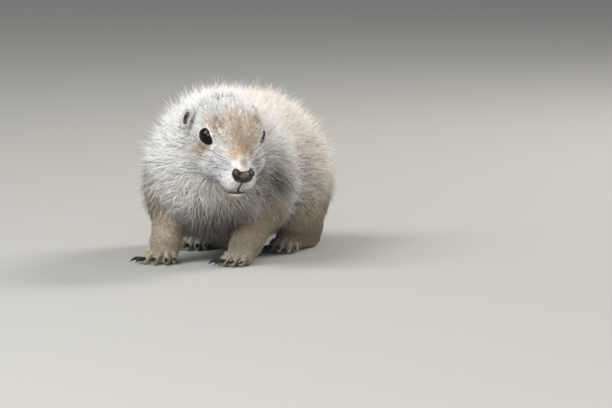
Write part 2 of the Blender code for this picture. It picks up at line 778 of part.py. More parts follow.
def horn(name, start, ahead, length, width):
    """A claw: a horn of oval rings that arches forward and down to a blunt tip above the floor."""
    sides, rings = 8, 6
    up = np.array([0.0, 0.0, 1.0])
    across = np.cross(up, ahead)
    points = []
    for share in np.linspace(0, 1, rings):
        rise = CLAW_ARCH * math.sin(math.pi * share * 0.8) - (start[2] - CLAW_TIP_HEIGHT) * share**2
        centre = start + ahead * length * share + up * rise
        radius = width * (1 - share) ** 0.7 * 0.5 + CLAW_TIP_RADIUS
        for turn in np.linspace(0, 2 * math.pi, sides, endpoint=False):
            points.append(centre + across * radius * 0.8 * math.cos(turn) + up * radius * math.sin(turn))
    faces = [tuple(reversed(range(sides))), tuple((rings - 1) * sides + i for i in range(sides))]
    for ring in range(rings - 1):
        for side in range(sides):
            a, b = ring * sides + side, ring * sides + (side + 1) % sides
            faces.append((a, b, b + sides, a + sides))
    return closed_mesh(name, points, faces)


def make_claws(kind, leg, toes, side, field, length, look):
    """The claws of a foot, each cut away where it meets its toe."""
    def this_foot(points):
        return field(points, side)

    for number, (root, knuckle, tip, ahead, size) in enumerate(toes_of(leg, toes, side), start=1):
        name = f"claw_{kind}_{side}_{number}"
        start = tip - ahead * 0.6 * MM + mm(0, 0, 0.55)
        claw = horn(name, start, ahead, length * size, CLAW_BASE_WIDTH * size)
        toe = mesh_of("toe_room", this_foot, tip - 4.5 * MM, tip + 4.5 * MM, 0.5 * MM, GAP)
        thin_out(toe, FACES["toe_room"])
        cut_away(claw, toe)
        finish(keep_largest(claw), name, look)


def centre_on_floor():
    """Moves every node so that the object's box is centred over the origin, its lowest point at z = 0."""
    corners = []
    for made in bpy.data.objects:
        coordinates = np.empty(len(made.data.vertices) * 3)
        made.data.vertices.foreach_get("co", coordinates)
        coordinates = coordinates.reshape(-1, 3)
        corners += [coordinates.min(axis=0), coordinates.max(axis=0)]
    low, high = np.min(corners, axis=0), np.max(corners, axis=0)
    offset = -np.array([(low[0] + high[0]) / 2, (low[1] + high[1]) / 2, low[2]])
    for made in bpy.data.objects:
        made.data.transform(Matrix.Translation(Vector(offset)))


def main():
    remove(*list(bpy.data.objects))
    coat = material("coat", COAT, 0.85)
    tail_black = material("tail_fur", DARK_TAIL, 0.85)
    feet = material("foot_fur", FOOT_FUR, 0.8)
    claw_horn = material("claw_horn", CLAW_HORN, 0.35)
    make_torso(coat)
    make_neck(coat)
    make_head(coat)
    make_nose(material("nose_skin", NOSE_SKIN, 0.45))
    eye_look = material("eye", EYE_BLACK, 0.05)
    ear_look = material("ear_fur", EAR_FUR, 0.8)
    for side in (1, -1):
        make_eye(side, eye_look)
        make_ear(side, ear_look)
    for side in ("left", "right"):
        make_leg(f"foreleg_{side}", side, FORELEG_REGION, WRIST_HEIGHT, FACES["foreleg"], coat)
        make_leg(f"hindleg_{side}", side, HINDLEG_REGION, ANKLE_HEIGHT, FACES["hindleg"], coat)
        foreleg, hindleg = FORELEGS[side], HINDLEGS[side]
        low, high = foreleg["paw"] + mm(-18, -18, -7), foreleg["paw"] + mm(18, 14, 14)
        make_foot(f"forefoot_{side}", side, forefoot_field, low, high, WRIST_HEIGHT, FACES["forefoot"], feet)
        low, high = hindleg["heel"] + mm(-18, -48, -9), hindleg["heel"] + mm(18, 12, 10)
        make_foot(f"hindfoot_{side}", side, hindfoot_field, low, high, ANKLE_HEIGHT, FACES["hindfoot"], feet)
        make_claws("fore", foreleg, FORE_TOES, side, forefoot_field, FORE_CLAW_LENGTH, claw_horn)
        make_claws("hind", hindleg, HIND_TOES, side, hindfoot_field, HIND_CLAW_LENGTH, claw_horn)
    make_tail((coat, tail_black))
    centre_on_floor()


main()
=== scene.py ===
"""The looks of a young prairie dog: skin, coat, eyes, nose, ears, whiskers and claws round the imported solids.

The solids are the outside of the coat. The skin is the same level set drawn inwards by the coat's depth, and
tufts of hair stand on it, each a thin three-sided spike that leans the way the coat lies. Markings are worked
out once as a function of place, and skin and tufts both take their colours from it.
"""

import math
from typing import NamedTuple

import bmesh
import bpy
import numpy as np
import openvdb
from mathutils import Matrix, Vector


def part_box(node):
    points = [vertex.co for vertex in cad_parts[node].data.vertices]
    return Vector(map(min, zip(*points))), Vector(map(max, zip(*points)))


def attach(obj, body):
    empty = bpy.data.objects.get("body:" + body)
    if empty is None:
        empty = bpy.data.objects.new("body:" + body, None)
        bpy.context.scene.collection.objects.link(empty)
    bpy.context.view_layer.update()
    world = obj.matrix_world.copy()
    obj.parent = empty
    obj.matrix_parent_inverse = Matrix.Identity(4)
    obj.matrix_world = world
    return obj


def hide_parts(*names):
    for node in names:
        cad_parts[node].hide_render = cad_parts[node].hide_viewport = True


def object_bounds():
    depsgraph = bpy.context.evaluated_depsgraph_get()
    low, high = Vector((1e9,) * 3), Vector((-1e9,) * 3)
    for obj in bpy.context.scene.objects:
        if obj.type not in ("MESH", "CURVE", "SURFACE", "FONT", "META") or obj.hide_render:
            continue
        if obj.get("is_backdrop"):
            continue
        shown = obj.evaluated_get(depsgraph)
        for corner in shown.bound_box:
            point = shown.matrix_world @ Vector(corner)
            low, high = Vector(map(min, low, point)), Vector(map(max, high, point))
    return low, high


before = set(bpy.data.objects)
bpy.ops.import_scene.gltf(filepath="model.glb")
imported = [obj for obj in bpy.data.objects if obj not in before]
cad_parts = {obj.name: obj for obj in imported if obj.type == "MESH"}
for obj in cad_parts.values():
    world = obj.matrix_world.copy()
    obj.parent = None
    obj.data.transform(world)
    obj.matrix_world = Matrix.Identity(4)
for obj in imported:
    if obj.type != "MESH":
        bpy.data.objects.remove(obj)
cad_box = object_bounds()

MM = 0.001
SEED = 17
TUFTS = 190000          # on the skin; the ears' fringes are counted apart
EAR_TUFTS = 1900        # in each ear's fringe
BENT_LIMIT = 19500      # tufts in one piece, which keep it under 200,000 triangles
STRAIGHT_LIMIT = 48000
PATCH_SIZE = 0.003      # of one tuft's patch on the bake map
CLUMP_SEED = 911        # of the noise that draws neighbouring tufts together
TONE_SEED = 91          # of the noise that shades the hair


# Colours


def linear(hex_colour):
    """An sRGB colour such as "c9a987" as three linear values."""
    values = np.array([int(hex_colour[i:i + 2], 16) / 255 for i in (0, 2, 4)])
    return np.where(values <= 0.04045, values / 12.92, ((values + 0.055) / 1.055) ** 2.4)


WHITE, CREAM, SAND = linear("f5f1eb"), linear("eadfd0"), linear("d9bfa2")
BROW_BROWN, ORANGE_BUFF, STRIP_GREY = linear("96704a"), linear("ddb48c"), linear("c0b2a5")
MUZZLE_GREY, LIP_WHITE, CHIN_BUFF = linear("e3e4e7"), linear("e2d8cf"), linear("c8a27c")
# The chest's grey is partly grey fur and partly painted shade under the head and body
GREY_FUR, CHEST_GREY_AND_SHADE, UNDERFUR = linear("7b746b"), linear("6f695f"), linear("6a6056")
LEG_TAN, FOOT_BUFF, DARK_TAIL = linear("c6b597"), linear("c8bba4"), linear("352b25")
# The nose's pale is partly its own paler skin and partly a painted highlight on top
LIP_SKIN, NOSE_BROWN, NOSE_PALE_AND_HIGHLIGHT = linear("3a2620"), linear("211813"), linear("594c43")
# The ear's dark is bare skin darkened with painted shade in the hollow
EAR_SKIN_AND_SHADE, EYE_BLACK, LID_BROWN = linear("17110f"), linear("070605"), linear("171110")
WHISKER_BROWN, HORN_GREY = linear("2b2725"), linear("25272b")
FLOOR_GREY, SKY_GREY = linear("a39f98"), linear("cdd3da")


# Shape helpers. A level set takes points (n, 3) in metres and gives the distance to its surface, which is
# negative inside


def mm(*values):
    """Millimetres as an array of metres."""
    return np.array(values, float) * MM


def unit(vectors):
    """Vectors brought to a length of 1."""
    vectors = np.asarray(vectors, float)
    return vectors / np.maximum(np.linalg.norm(vectors, axis=-1, keepdims=True), 1e-12)


def smooth(value, low, high):
    """0 below low, 1 above high, and an even curve between them."""
    share = np.clip((value - low) / (high - low), 0, 1)
    return share * share * (3 - 2 * share)


def ellipsoid(points, centre, radii, axes=None):
    """The scaled distance from the centre, less 1, brought to metres by its own slope."""
    local = points - np.asarray(centre)
    if axes is not None:
        local = local @ np.asarray(axes).T
    scaled = np.linalg.norm(local / radii, axis=1)
    slope = np.linalg.norm(local / np.square(radii), axis=1) + 1e-9
    return scaled * (scaled - 1) / slope


def limb(points, start, end, start_radius, end_radius):
    """The distance to a straight line, less a radius that goes evenly from one end to the other."""
    start, run = np.asarray(start), np.asarray(end) - np.asarray(start)
    share = np.clip((points - start) @ run / (run @ run), 0, 1)
    nearest = start + share[:, None] * run
    return np.linalg.norm(points - nearest, axis=1) - (start_radius + share * (end_radius - start_radius))


def blend(first, second, width):
    """Both forms as one, with a fillet about as wide as width."""
    share = np.clip(0.5 + 0.5 * (second - first) / width, 0, 1)
    return second * (1 - share) + first * share - width * share * (1 - share)


def carve(body, tool, width):
    """The body less the tool, with a rounded edge."""
    return -blend(-body, tool, width)


def blended(fields, width):
    """Several forms as one, with fillets between them."""
    result = fields[0]
    for field in fields[1:]:
        result = blend(result, field, width)
    return result


def bent_limb(points, path, radii, width):
    """A limb through several places, rounded at its bends."""
    pieces = [limb(points, a, b, ra, rb) for a, b, ra, rb in zip(path, path[1:], radii, radii[1:])]
    return blended(pieces, width)


# Pose of the head: where the point midway between the eyes stands, and how the head is turned
HEAD_ORIGIN = mm(19.7, -78.0, 60.9)
HEAD_TURN = math.radians(39)   # to the animal's left
HEAD_BOW = math.radians(29)    # nose down
HEAD_TILT = math.radians(0.5)  # left side down
TORSO_HALF_WIDTH = 35 * MM
EYE_RADIUS = 4.5 * MM
EYE_SPACING = 30.1 * MM        # between the fronts of the two eyes


def head_axes():
    """Rows: forward to the nose, to the animal's left, and up through the crown."""
    level = np.array([math.sin(HEAD_TURN), -math.cos(HEAD_TURN), 0.0])
    up = np.array([0.0, 0.0, 1.0])
    forward = level * math.cos(HEAD_BOW) - up * math.sin(HEAD_BOW)
    crown = level * math.sin(HEAD_BOW) + up * math.cos(HEAD_BOW)
    left = np.cross(crown, forward)
    tilted_left = left * math.cos(HEAD_TILT) - crown * math.sin(HEAD_TILT)
    return np.array([forward, tilted_left, np.cross(forward, tilted_left)])


HEAD_AXES = head_axes()


def from_head(*values):
    """A point given in millimetres forward, left and up of the point between the eyes, in the world."""
    return HEAD_ORIGIN + mm(*values) @ HEAD_AXES


# The body and the legs


def torso_field(points):
    """Rump, chest, belly and back as four ellipsoids run together."""
    rump = ellipsoid(points, mm(-1, 30, 41.5), np.array([TORSO_HALF_WIDTH, 44 * MM, 31.5 * MM]))
    chest = ellipsoid(points, mm(0, -23, 43), mm(33.5, 40, 32))
    belly = ellipsoid(points, mm(-1, 3, 30), mm(28, 46, 24.5))
    saddle = ellipsoid(points, mm(-1, 10, 52.5), mm(26, 46, 20))
    return blended([rump, chest, belly, saddle], 12 * MM)


def neck_field(points):
    """The nape and the throat, from the chest to the head."""
    nape = limb(points, mm(0, -36, 52), from_head(-17, 0, -2), 27 * MM, 15 * MM)
    throat = limb(points, mm(3, -43, 36), from_head(-8, 0, -12), 21 * MM, 10 * MM)
    return blend(nape, throat, 8 * MM)


TAIL_PATH = [mm(-1, 66, 24), mm(-2, 79, 19), mm(-4.5, 92, 14), mm(-8, 104, 10.5), mm(-11, 113, 8.5)]
TAIL_RADII = [9 * MM, 7.6 * MM, 7.2 * MM, 6.6 * MM, 4.6 * MM]
TAIL_END = mm(-14, 121, 7.5)
TAIL_END_RADIUS = 1.2 * MM


def tail_field(points):
    """A short brush that droops behind the rump."""
    return bent_limb(points, [*TAIL_PATH, TAIL_END], [*TAIL_RADII, TAIL_END_RADIUS], 4 * MM)


# Places of each leg; heading is where its middle toe points and spread the angle from toe to toe, in degrees
FORELEGS = {
    "right": {"shoulder": mm(-22, -32, 38), "elbow": mm(-22, -33, 24), "wrist": mm(-21.0, -47, 9.5),
              "paw": mm(-21.0, -51.0, 3.6), "heading": -96, "spread": 17},
    "left": {"shoulder": mm(22, -32, 38), "elbow": mm(21, -32, 24), "wrist": mm(17.0, -47, 9.5),
             "paw": mm(15.8, -51.5, 3.6), "heading": -117, "spread": 11},
}
HINDLEGS = {
    "right": {"hip": mm(-23, 36, 31), "knee": mm(-25, 18, 20), "heel": mm(-24, 44, 5.2),
              "paw": mm(-24.5, 19, 4.0), "heading": -94, "spread": 11},
    "left": {"hip": mm(22.5, 36, 31), "knee": mm(24, 17, 20), "heel": mm(22, 42, 5.2),
             "paw": mm(20.5, 17, 4.0), "heading": -96, "spread": 11},
}


def foreleg_field(points, side):
    """A shoulder and an arm that bends at elbow and wrist."""
    leg = FORELEGS[side]
    shoulder = ellipsoid(points, leg["shoulder"], mm(12.5, 18, 21))
    arm = bent_limb(
        points, [leg["shoulder"], leg["elbow"], leg["wrist"], leg["paw"]],
        [11 * MM, 9 * MM, 5.6 * MM, 4.2 * MM], 3 * MM,
    )
    return blend(shoulder, arm, 6 * MM)


def hindleg_field(points, side):
    """A haunch and a shank down to the heel."""
    leg = HINDLEGS[side]
    haunch = ellipsoid(points, leg["hip"] + mm(0, -1, -1), mm(12.5, 25, 22))
    shank = bent_limb(points, [leg["knee"], leg["heel"]], [11 * MM, 5.8 * MM], 3 * MM)
    return blend(haunch, shank, 6 * MM)


# The feet
TOE_SLOTS = (-1.9, -1.0, 0.0, 1.0, 1.9)            # places across the paw, in toe widths
FORE_TOES = {"lengths": mm(3.2, 8.2, 9.6, 8.8, 6.4), "sizes": (0.75, 0.95, 1.0, 0.97, 0.85)}
HIND_TOES = {"lengths": mm(6.4, 9.4, 10.2, 9.4, 6.0), "sizes": (0.82, 0.97, 1.0, 0.97, 0.82)}
TOE_PITCH = 2.15 * MM                              # from one toe's root to the next
TOE_RADIUS = 1.85 * MM
TOE_ROOT_RADIUS = 2.5 * MM
KNUCKLE_HEIGHT = 4.3 * MM
TOE_TIP_HEIGHT = 1.5 * MM
FORE_CLAW_LENGTH = 7.2 * MM
HIND_CLAW_LENGTH = 5.8 * MM


def toes_of(leg, toes, side):
    """Each toe as its root, knuckle, tip, heading and size. Slots count from the thumb's side outwards."""
    across_sign = 1 if side == "left" else -1
    middle = math.radians(leg["heading"])
    across = np.array([-math.sin(middle), math.cos(middle), 0.0]) * across_sign
    for slot, length, size in zip(TOE_SLOTS, toes["lengths"], toes["sizes"]):
        angle = math.radians(leg["heading"] + across_sign * slot * leg["spread"])
        ahead = np.array([math.cos(angle), math.sin(angle), 0.0])
        root = leg["paw"] + across * slot * TOE_PITCH
        knuckle = root + ahead * (0.5 * length + 1.2 * MM)
        knuckle[2] = KNUCKLE_HEIGHT * (0.75 + 0.25 * size)
        tip = root + ahead * (length + 2.2 * MM)
        tip[2] = TOE_TIP_HEIGHT * size
        yield root, knuckle, tip, ahead, size


def paw_field(points, leg, toes, side):
    """A palm with five toes, each arched over its knuckle."""
    palm = ellipsoid(points, leg["paw"] + mm(0, 0, 0.2), mm(5.2, 5.4, 4.3))
    digits = []
    for root, knuckle, tip, ahead, size in toes_of(leg, toes, side):
        radii = [TOE_ROOT_RADIUS, TOE_RADIUS * size, TOE_RADIUS * size * 0.86]
        digits.append(bent_limb(points, [root, knuckle, tip], radii, 1.0 * MM))
    return blend(palm, np.minimum.reduce(digits), 1.6 * MM)


def forefoot_field(points, side):
    """The forepaw, run into its leg."""
    return blend(paw_field(points, FORELEGS[side], FORE_TOES, side), foreleg_field(points, side), 2.5 * MM)


def hindfoot_field(points, side):
    """The hind paw with its long sole, run into its leg."""
    leg = HINDLEGS[side]
    sole = limb(points, leg["heel"], leg["paw"], 5.6 * MM, 4.4 * MM)
    foot = blend(paw_field(points, leg, HIND_TOES, side), sole, 2 * MM)
    return blend(foot, hindleg_field(points, side), 3 * MM)


# The head
EYE_AXIS = unit([0.49, 0.85, 0.17])      # where the left eye looks
LID_SLIT = np.array([1.0, 0.0, -0.2])    # the slit of the lids runs forward and a little down
EYE_LONG = unit(np.cross(np.cross(EYE_AXIS, LID_SLIT), EYE_AXIS))
EYE_SHORT = np.cross(EYE_AXIS, EYE_LONG)
EYE_CENTRE = np.array([0, EYE_SPACING / 2, 0]) - EYE_AXIS * (EYE_RADIUS - 0.1 * MM)
LID_HALF_LENGTH = 4.35 * MM
LID_HALF_HEIGHT = 4.0 * MM
LID_RADIUS = 0.75 * MM
LID_FORWARD = 2.1 * MM          # from the middle of the eye to the ring of the lids
NOSE_TIP = mm(19.2, 0, -9.6)
LIP_HEIGHT = -19.9 * MM          # of the line between the lips, at its lowest


def in_head(points):
    """Points in head axes, in metres."""
    return (points - HEAD_ORIGIN) @ HEAD_AXES.T


def folded(local):
    """Head points with both sides folded onto the left one, as the head's two sides are alike."""
    return np.column_stack([local[:, 0], np.abs(local[:, 1]), local[:, 2]])


def eye_frame(side):
    """Centre and axes (look, long, short) of an eye in head axes."""
    mirror = np.array([1.0, side, 1.0])
    return EYE_CENTRE * mirror, EYE_AXIS * mirror, EYE_LONG * mirror, EYE_SHORT * mirror


def skull_field(side):
    """The head's soft form before eyes, nose and mouth, from points already folded onto the left side."""
    cranium = ellipsoid(side, mm(-10, 0, -2.4), mm(17.5, 15.6, 14.9))
    brow = ellipsoid(side, mm(-1, 5.5, 4), mm(9.5, 7.5, 6.5))
    cheek = ellipsoid(side, mm(-6, 8.6, -11.5), mm(14, 10, 10.6))
    bridge = limb(side, mm(-1, 0, -1.5), mm(13.7, 0, -8.7), 10.5 * MM, 4.2 * MM)
    muzzle = limb(side, mm(2, 0, -8.5), mm(11.7, 0, -12.5), 11.0 * MM, 5.7 * MM)
    whisker_pad = ellipsoid(side, mm(12.6, 3.8, -15.0), mm(5.8, 4.3, 4.9))
    jaw = limb(side, mm(-4, 0, -14), mm(10.3, 0, -18.7), 10.8 * MM, 4.6 * MM)
    chin = ellipsoid(side, mm(12.0, 0, -21.3), mm(5.0, 4.5, 3.4))
    form = blended([cranium, brow, cheek, muzzle], 6 * MM)
    form = blend(form, bridge, 4 * MM)
    form = blend(form, jaw, 3.5 * MM)
    form = blend(form, whisker_pad, 2.2 * MM)
    return blend(form, chin, 2 * MM)


def lid_field(side):
    """The raised rim round the left eye."""
    centre, look, long, short = eye_frame(1)
    local = side - (centre + look * LID_FORWARD)
    along, over, out = local @ (long / LID_HALF_LENGTH), local @ (short / LID_HALF_HEIGHT), local @ look
    ring = (np.hypot(along, over) - 1) * 0.5 * (LID_HALF_LENGTH + LID_HALF_HEIGHT)
    curved = out + 0.35 * MM * np.square(along)
    return np.hypot(ring, curved) - LID_RADIUS


def eye_opening(side):
    """The oval tube in front of the left eye, drawn to a point at its front corner."""
    centre, look, long, short = eye_frame(1)
    local = side - centre
    along, over, out = local @ long, local @ short, local @ look
    corner = np.clip(along / LID_HALF_LENGTH, 0, 1.6)
    half_height = (LID_HALF_HEIGHT - 0.55 * MM) * (1 - 0.24 * corner**2)
    oval = np.hypot(along / (LID_HALF_LENGTH - 0.35 * MM), over / half_height) - 1
    return np.maximum(oval * LID_HALF_HEIGHT, 1.0 * MM - out)


def head_field(points):
    """The skull with a dish round each eye, the rim of the lids and their opening."""
    side = folded(in_head(points))
    form = skull_field(side)
    dish = ellipsoid(side, EYE_CENTRE + EYE_AXIS * (LID_FORWARD + 6.6 * MM), mm(7.0, 7.0, 7.0))
    form = carve(form, dish, 2.5 * MM)
    form = blend(form, lid_field(side), 1.0 * MM)
    return carve(form, eye_opening(side), 0.5 * MM)


def flesh_field(points):
    """The whole outside of the coat apart from the feet, nose and ears."""
    form = blend(torso_field(points), neck_field(points), 10 * MM)
    for side in ("left", "right"):
        form = blend(form, foreleg_field(points, side), 5 * MM)
        form = blend(form, hindleg_field(points, side), 5 * MM)
    form = blend(form, tail_field(points), 5 * MM)
    return blend(form, head_field(points), 4 * MM)


def nose_field(points):
    """The nose pad: a rounded shield with a wing over each nostril."""
    side = folded(in_head(points))
    pad = ellipsoid(side, NOSE_TIP + mm(-1.7, 0, -0.9), mm(2.9, 3.5, 2.7))
    wing = ellipsoid(side, NOSE_TIP + mm(-2.7, 3.7, 0.3), mm(2.4, 1.6, 2.2))
    return blend(pad, wing, 1.1 * MM)


def nostril_field(points):
    """A comma-shaped slit under each wing, opening forward and to the side."""
    side = folded(in_head(points))
    path = [NOSE_TIP + mm(0.9, 2.1, -1.7), NOSE_TIP + mm(-0.4, 3.5, -1.5), NOSE_TIP + mm(-1.4, 5.2, 0.1)]
    return bent_limb(side, path, [0.8 * MM, 0.85 * MM, 0.6 * MM], 0.6 * MM)


MUZZLE_MIDDLE = 4 * MM                # how far ahead of the eyes the middle of the lips' bow lies
EAR_FROM = mm(-18.5, 6.0, -5.0)       # a point inside the head from which the ear is placed outwards
EAR_OUT = unit([0.0, 0.95, 0.30])     # where the left ear's cup opens
EAR_UP = unit([-0.30, 0.20, 0.93])
EAR_STAND = 0.6 * MM


def ear_axes():
    """Rows: out of the cup's opening, across the cup and up."""
    across = unit(np.cross(EAR_UP, EAR_OUT))
    return np.array([EAR_OUT, across, np.cross(EAR_OUT, across)])


def ear_base(side):
    """Where the ear's middle stands: on the coat, straight out from a point inside the head."""
    mirror = np.array([1, side, 1])
    reaches = np.arange(0, 30, 0.1) * MM
    local = EAR_FROM * mirror + reaches[:, None] * (EAR_OUT * mirror)
    inside = flesh_field(HEAD_ORIGIN + local @ HEAD_AXES) < 0
    return (EAR_FROM + (reaches[inside].max() + EAR_STAND) * EAR_OUT) * mirror


# Places measured from the solids. The level sets are drawn round the body's first origin, SHIFT away


def solid_box_middle(node):
    """The middle of a CAD node's box."""
    low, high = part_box(node)
    return (np.array(low) + np.array(high)) / 2


SHIFT = (solid_box_middle("eye_left") + solid_box_middle("eye_right")) / 2 - HEAD_ORIGIN
SHIFT = SHIFT - (EYE_CENTRE * [1, 0, 1]) @ HEAD_AXES


def from_local(local):
    """Points in head axes, in metres, brought to the frame of the solids."""
    return HEAD_ORIGIN + SHIFT + np.asarray(local) @ HEAD_AXES


def head_local(points):
    """Points of the level sets' frame in head axes, in millimetres."""
    return in_head(points) / MM


# The skin: the coat's outside drawn inwards by the coat's depth


def region_shares(points):
    """How much of each point belongs to the head, the legs and the tail, from 0 to 1."""
    trunk = np.minimum(torso_field(points), neck_field(points))
    head = smooth(trunk - head_field(points), -7 * MM, 3 * MM)
    fore = np.minimum(foreleg_field(points, "left"), foreleg_field(points, "right"))
    hind = np.minimum(hindleg_field(points, "left"), hindleg_field(points, "right"))
    leg = smooth(trunk - np.minimum(fore, hind), -4 * MM, 5 * MM)
    tail = smooth(trunk - tail_field(points), -2 * MM, 6 * MM) * smooth(points[:, 1], 60 * MM, 70 * MM)
    return head, leg * (1 - head), tail


# Depths of the coat in mm: on the face by the place forward of the eyes, on the legs by the height over the
# floor, and on the tail by the place along the body
FACE_PLACES, FACE_DEPTHS = [-26, -19, -12, -4, 3, 9, 13.5, 18], [4.6, 2.7, 2.0, 1.7, 1.4, 1.0, 0.6, 0.3]
LEG_HEIGHTS, LEG_DEPTHS = [0, 6, 12, 18, 28, 40], [0.3, 0.4, 0.8, 1.6, 3.8, 6.2]
TAIL_PLACES, TAIL_DEPTHS = [66, 80, 108, 121], [5.0, 4.2, 4.0, 3.2]
FLOOR_DEPTH = 0.4       # the most that is left near the floor


def coat_depth(points, shares=None):
    """How deep the coat is: deepest over the shoulders and flanks, thin on the face, least on the feet."""
    head, leg, tail = shares or region_shares(points)
    forward, left, up = head_local(points).T
    height = points[:, 2] / MM
    trunk = 4.4 + 3.4 * smooth(height, 14, 42)
    face = np.interp(forward, FACE_PLACES, FACE_DEPTHS)
    face = face + 1.8 * smooth(np.abs(left), 10, 17) * smooth(-up, 3, 13) * smooth(-forward, -7, 2)
    limb_depth = np.interp(height, LEG_HEIGHTS, LEG_DEPTHS)
    brush = np.interp(points[:, 1] / MM, TAIL_PLACES, TAIL_DEPTHS)
    depth = trunk * (1 - head) + face * head
    depth = depth * (1 - leg) + limb_depth * leg
    depth = depth * (1 - tail) + brush * tail
    near_floor = smooth(height, 6, 13)
    return (depth * near_floor + np.minimum(depth, FLOOR_DEPTH) * (1 - near_floor)) * MM


def lip_line(angle):
    """The height of the line between the lips: level under the nose, drooping towards the corners."""
    return LIP_HEIGHT - 1.9 * MM * (np.abs(np.sin(angle)) / 0.52) ** 1.6


def mouth_slit(local, form):
    """The line between the lips, sunk a little into the face, from corner to corner."""
    forward, left, up = local.T
    line = lip_line(np.arctan2(left, forward - MUZZLE_MIDDLE / MM)) / MM
    across = np.abs(up - line) - 0.30 * (1 - smooth(np.abs(left), 3.4, 5.4))
    return np.maximum.reduce([across, 9.0 - forward, np.abs(left) - 5.5, -form / MM - 1.0]) * MM


def cleft_slit(local, form):
    """The upright slit from the nose to the mouth."""
    forward, left, up = local.T
    low, high = LIP_HEIGHT / MM - 0.1, NOSE_TIP[2] / MM - 2.4
    return np.maximum.reduce([np.abs(left) - 0.3, 9.0 - forward, low - up, up - high, -form / MM - 0.9]) * MM


def whole_field(points):
    """The outside of the coat over the whole body, feet included, cut flat at the floor."""
    form = flesh_field(points)
    for side in ("left", "right"):
        form = blend(form, forefoot_field(points, side), 4.0 * MM)
        form = blend(form, hindfoot_field(points, side), 6.0 * MM)
    return np.maximum(form, 0.02 * MM - points[:, 2])


def nose_form(points):
    """The solids' nose pad with a rounded lobe under each nostril, which makes its lower edge broad."""
    side = folded(in_head(points))
    lobe = ellipsoid(side, NOSE_TIP + mm(-2.2, 2.3, -1.9), mm(2.1, 1.9, 1.5))
    return blend(nose_field(points), lobe, 0.8 * MM)


def skin_field(points):
    """The coat's outside with fuller jowls, drawn inwards by the coat's depth, then the slits of the mouth,
    the lids as a thin shell over each globe with their opening, and a bed for the nose."""
    skin = whole_field(points)
    jowl = limb(folded(in_head(points)), mm(10.5, 4.6, -14.2), mm(1.5, 9.0, -12.6), 4.0 * MM, 7.0 * MM)
    skin = blend(skin, jowl, 4 * MM)
    near_face = (head_local(points)[:, 0] > 6) & (np.abs(skin) < 4 * MM)
    skin = skin + coat_depth(points)
    if near_face.any():
        local, part = head_local(points[near_face]), skin[near_face]
        part = carve(part, mouth_slit(local, part), 0.35 * MM)
        skin[near_face] = carve(part, cleft_slit(local, part), 0.3 * MM)
    side = folded(in_head(points))
    near_eye = np.linalg.norm(side - EYE_CENTRE, axis=1) < 9 * MM
    if near_eye.any():
        lids = np.linalg.norm(side[near_eye] - EYE_CENTRE, axis=1) - EYE_RADIUS - LID_SKIN
        reach, ahead = lid_reach(side[near_eye])
        hole = np.maximum((reach - 0.97) * 3.2 * MM, 0.8 * MM - ahead)
        skin[near_eye] = carve(blend(skin[near_eye], lids, 1.2 * MM), hole, 0.25 * MM)
    return carve(skin, nose_form(points) - 0.05 * MM, 0.2 * MM)


def ticks_between(stops, steps):
    """Grid ticks with a step of their own between each pair of stops."""
    ticks = [np.arange(a, b, step) for a, b, step in zip(stops, stops[1:], steps)]
    return np.concatenate([*ticks, [stops[-1]]]) * MM


def even_ticks(middle, reach, step):
    """Grid ticks at an even step round a place."""
    return [np.arange(centre - reach, centre + reach + step, step) for centre in middle]


def grid_mesh(name, field, ticks, block=5, reach=9):
    """The closed surface of a level set on a grid with uneven ticks, worked out finely only near it."""
    counts = np.array([len(axis) for axis in ticks])
    coarse_counts = -(-counts // block)
    middles = []
    for count, axis in zip(coarse_counts, ticks):
        middles.append(np.interp(np.arange(count) * block + (block - 1) / 2, np.arange(len(axis)), axis))
    grid = np.stack(np.meshgrid(*middles, indexing="ij"), axis=-1)
    values = field(grid.reshape(-1, 3)).reshape(coarse_counts)
    for axis in range(3):
        values = np.repeat(values, block, axis=axis)
    values = values[: counts[0], : counts[1], : counts[2]].copy()
    step = max(np.diff(axis).max() for axis in ticks)
    near = np.abs(values) < reach * step
    where = np.argwhere(near)
    values[near] = field(np.stack([ticks[i][where[:, i]] for i in range(3)], axis=1))
    edge = np.ones(counts, bool)
    edge[1:-1, 1:-1, 1:-1] = False
    values[edge] = np.maximum(values[edge], 0.5 * step)
    volume = openvdb.FloatGrid()
    volume.copyFromArray((np.clip(values / step, -3, 3)).astype(np.float32))
    vertices, quads = volume.convertToQuads(isovalue=0.0)
    placed = np.stack([np.interp(vertices[:, i], np.arange(counts[i]), ticks[i]) for i in range(3)], axis=1)
    return mesh_from(name, placed + SHIFT, quads)


def mesh_from(name, vertices, faces):
    """A mesh object from an array of points and an array of faces with the same number of corners."""
    vertices, faces = np.asarray(vertices, np.float32), np.asarray(faces, np.int32)
    corners = faces.shape[1]
    mesh = bpy.data.meshes.new(name)
    mesh.vertices.add(len(vertices))
    mesh.vertices.foreach_set("co", vertices.ravel())
    mesh.loops.add(faces.size)
    mesh.loops.foreach_set("vertex_index", faces.ravel())
    mesh.polygons.add(len(faces))
    mesh.polygons.foreach_set("loop_start", np.arange(len(faces), dtype=np.int32) * corners)
    mesh.polygons.foreach_set("loop_total", np.full(len(faces), corners, np.int32))
    mesh.update(calc_edges=True)
    made = bpy.data.objects.new(name, mesh)
    bpy.context.scene.collection.objects.link(made)
    mesh.shade_smooth()
    return made


def keep_largest(target):
    """Only the largest closed surface of a mesh: labels spread along edges until each surface has one."""
    form = bmesh.new()
    form.from_mesh(target.data)
    edges = np.empty(len(target.data.edges) * 2, np.int32)
    target.data.edges.foreach_get("vertices", edges)
    start, end = edges.reshape(-1, 2).T
    label = np.arange(len(form.verts))
    while True:
        low = np.minimum(label[start], label[end])
        before = label.copy()
        np.minimum.at(label, start, low)
        np.minimum.at(label, end, low)
        label = label[label]
        if (label == before).all():
            break
    biggest = np.bincount(label).argmax()
    scraps = [vertex for vertex in form.verts if label[vertex.index] != biggest]
    bmesh.ops.delete(form, geom=scraps, context="VERTS")
    form.to_mesh(target.data)
    form.free()
    return target


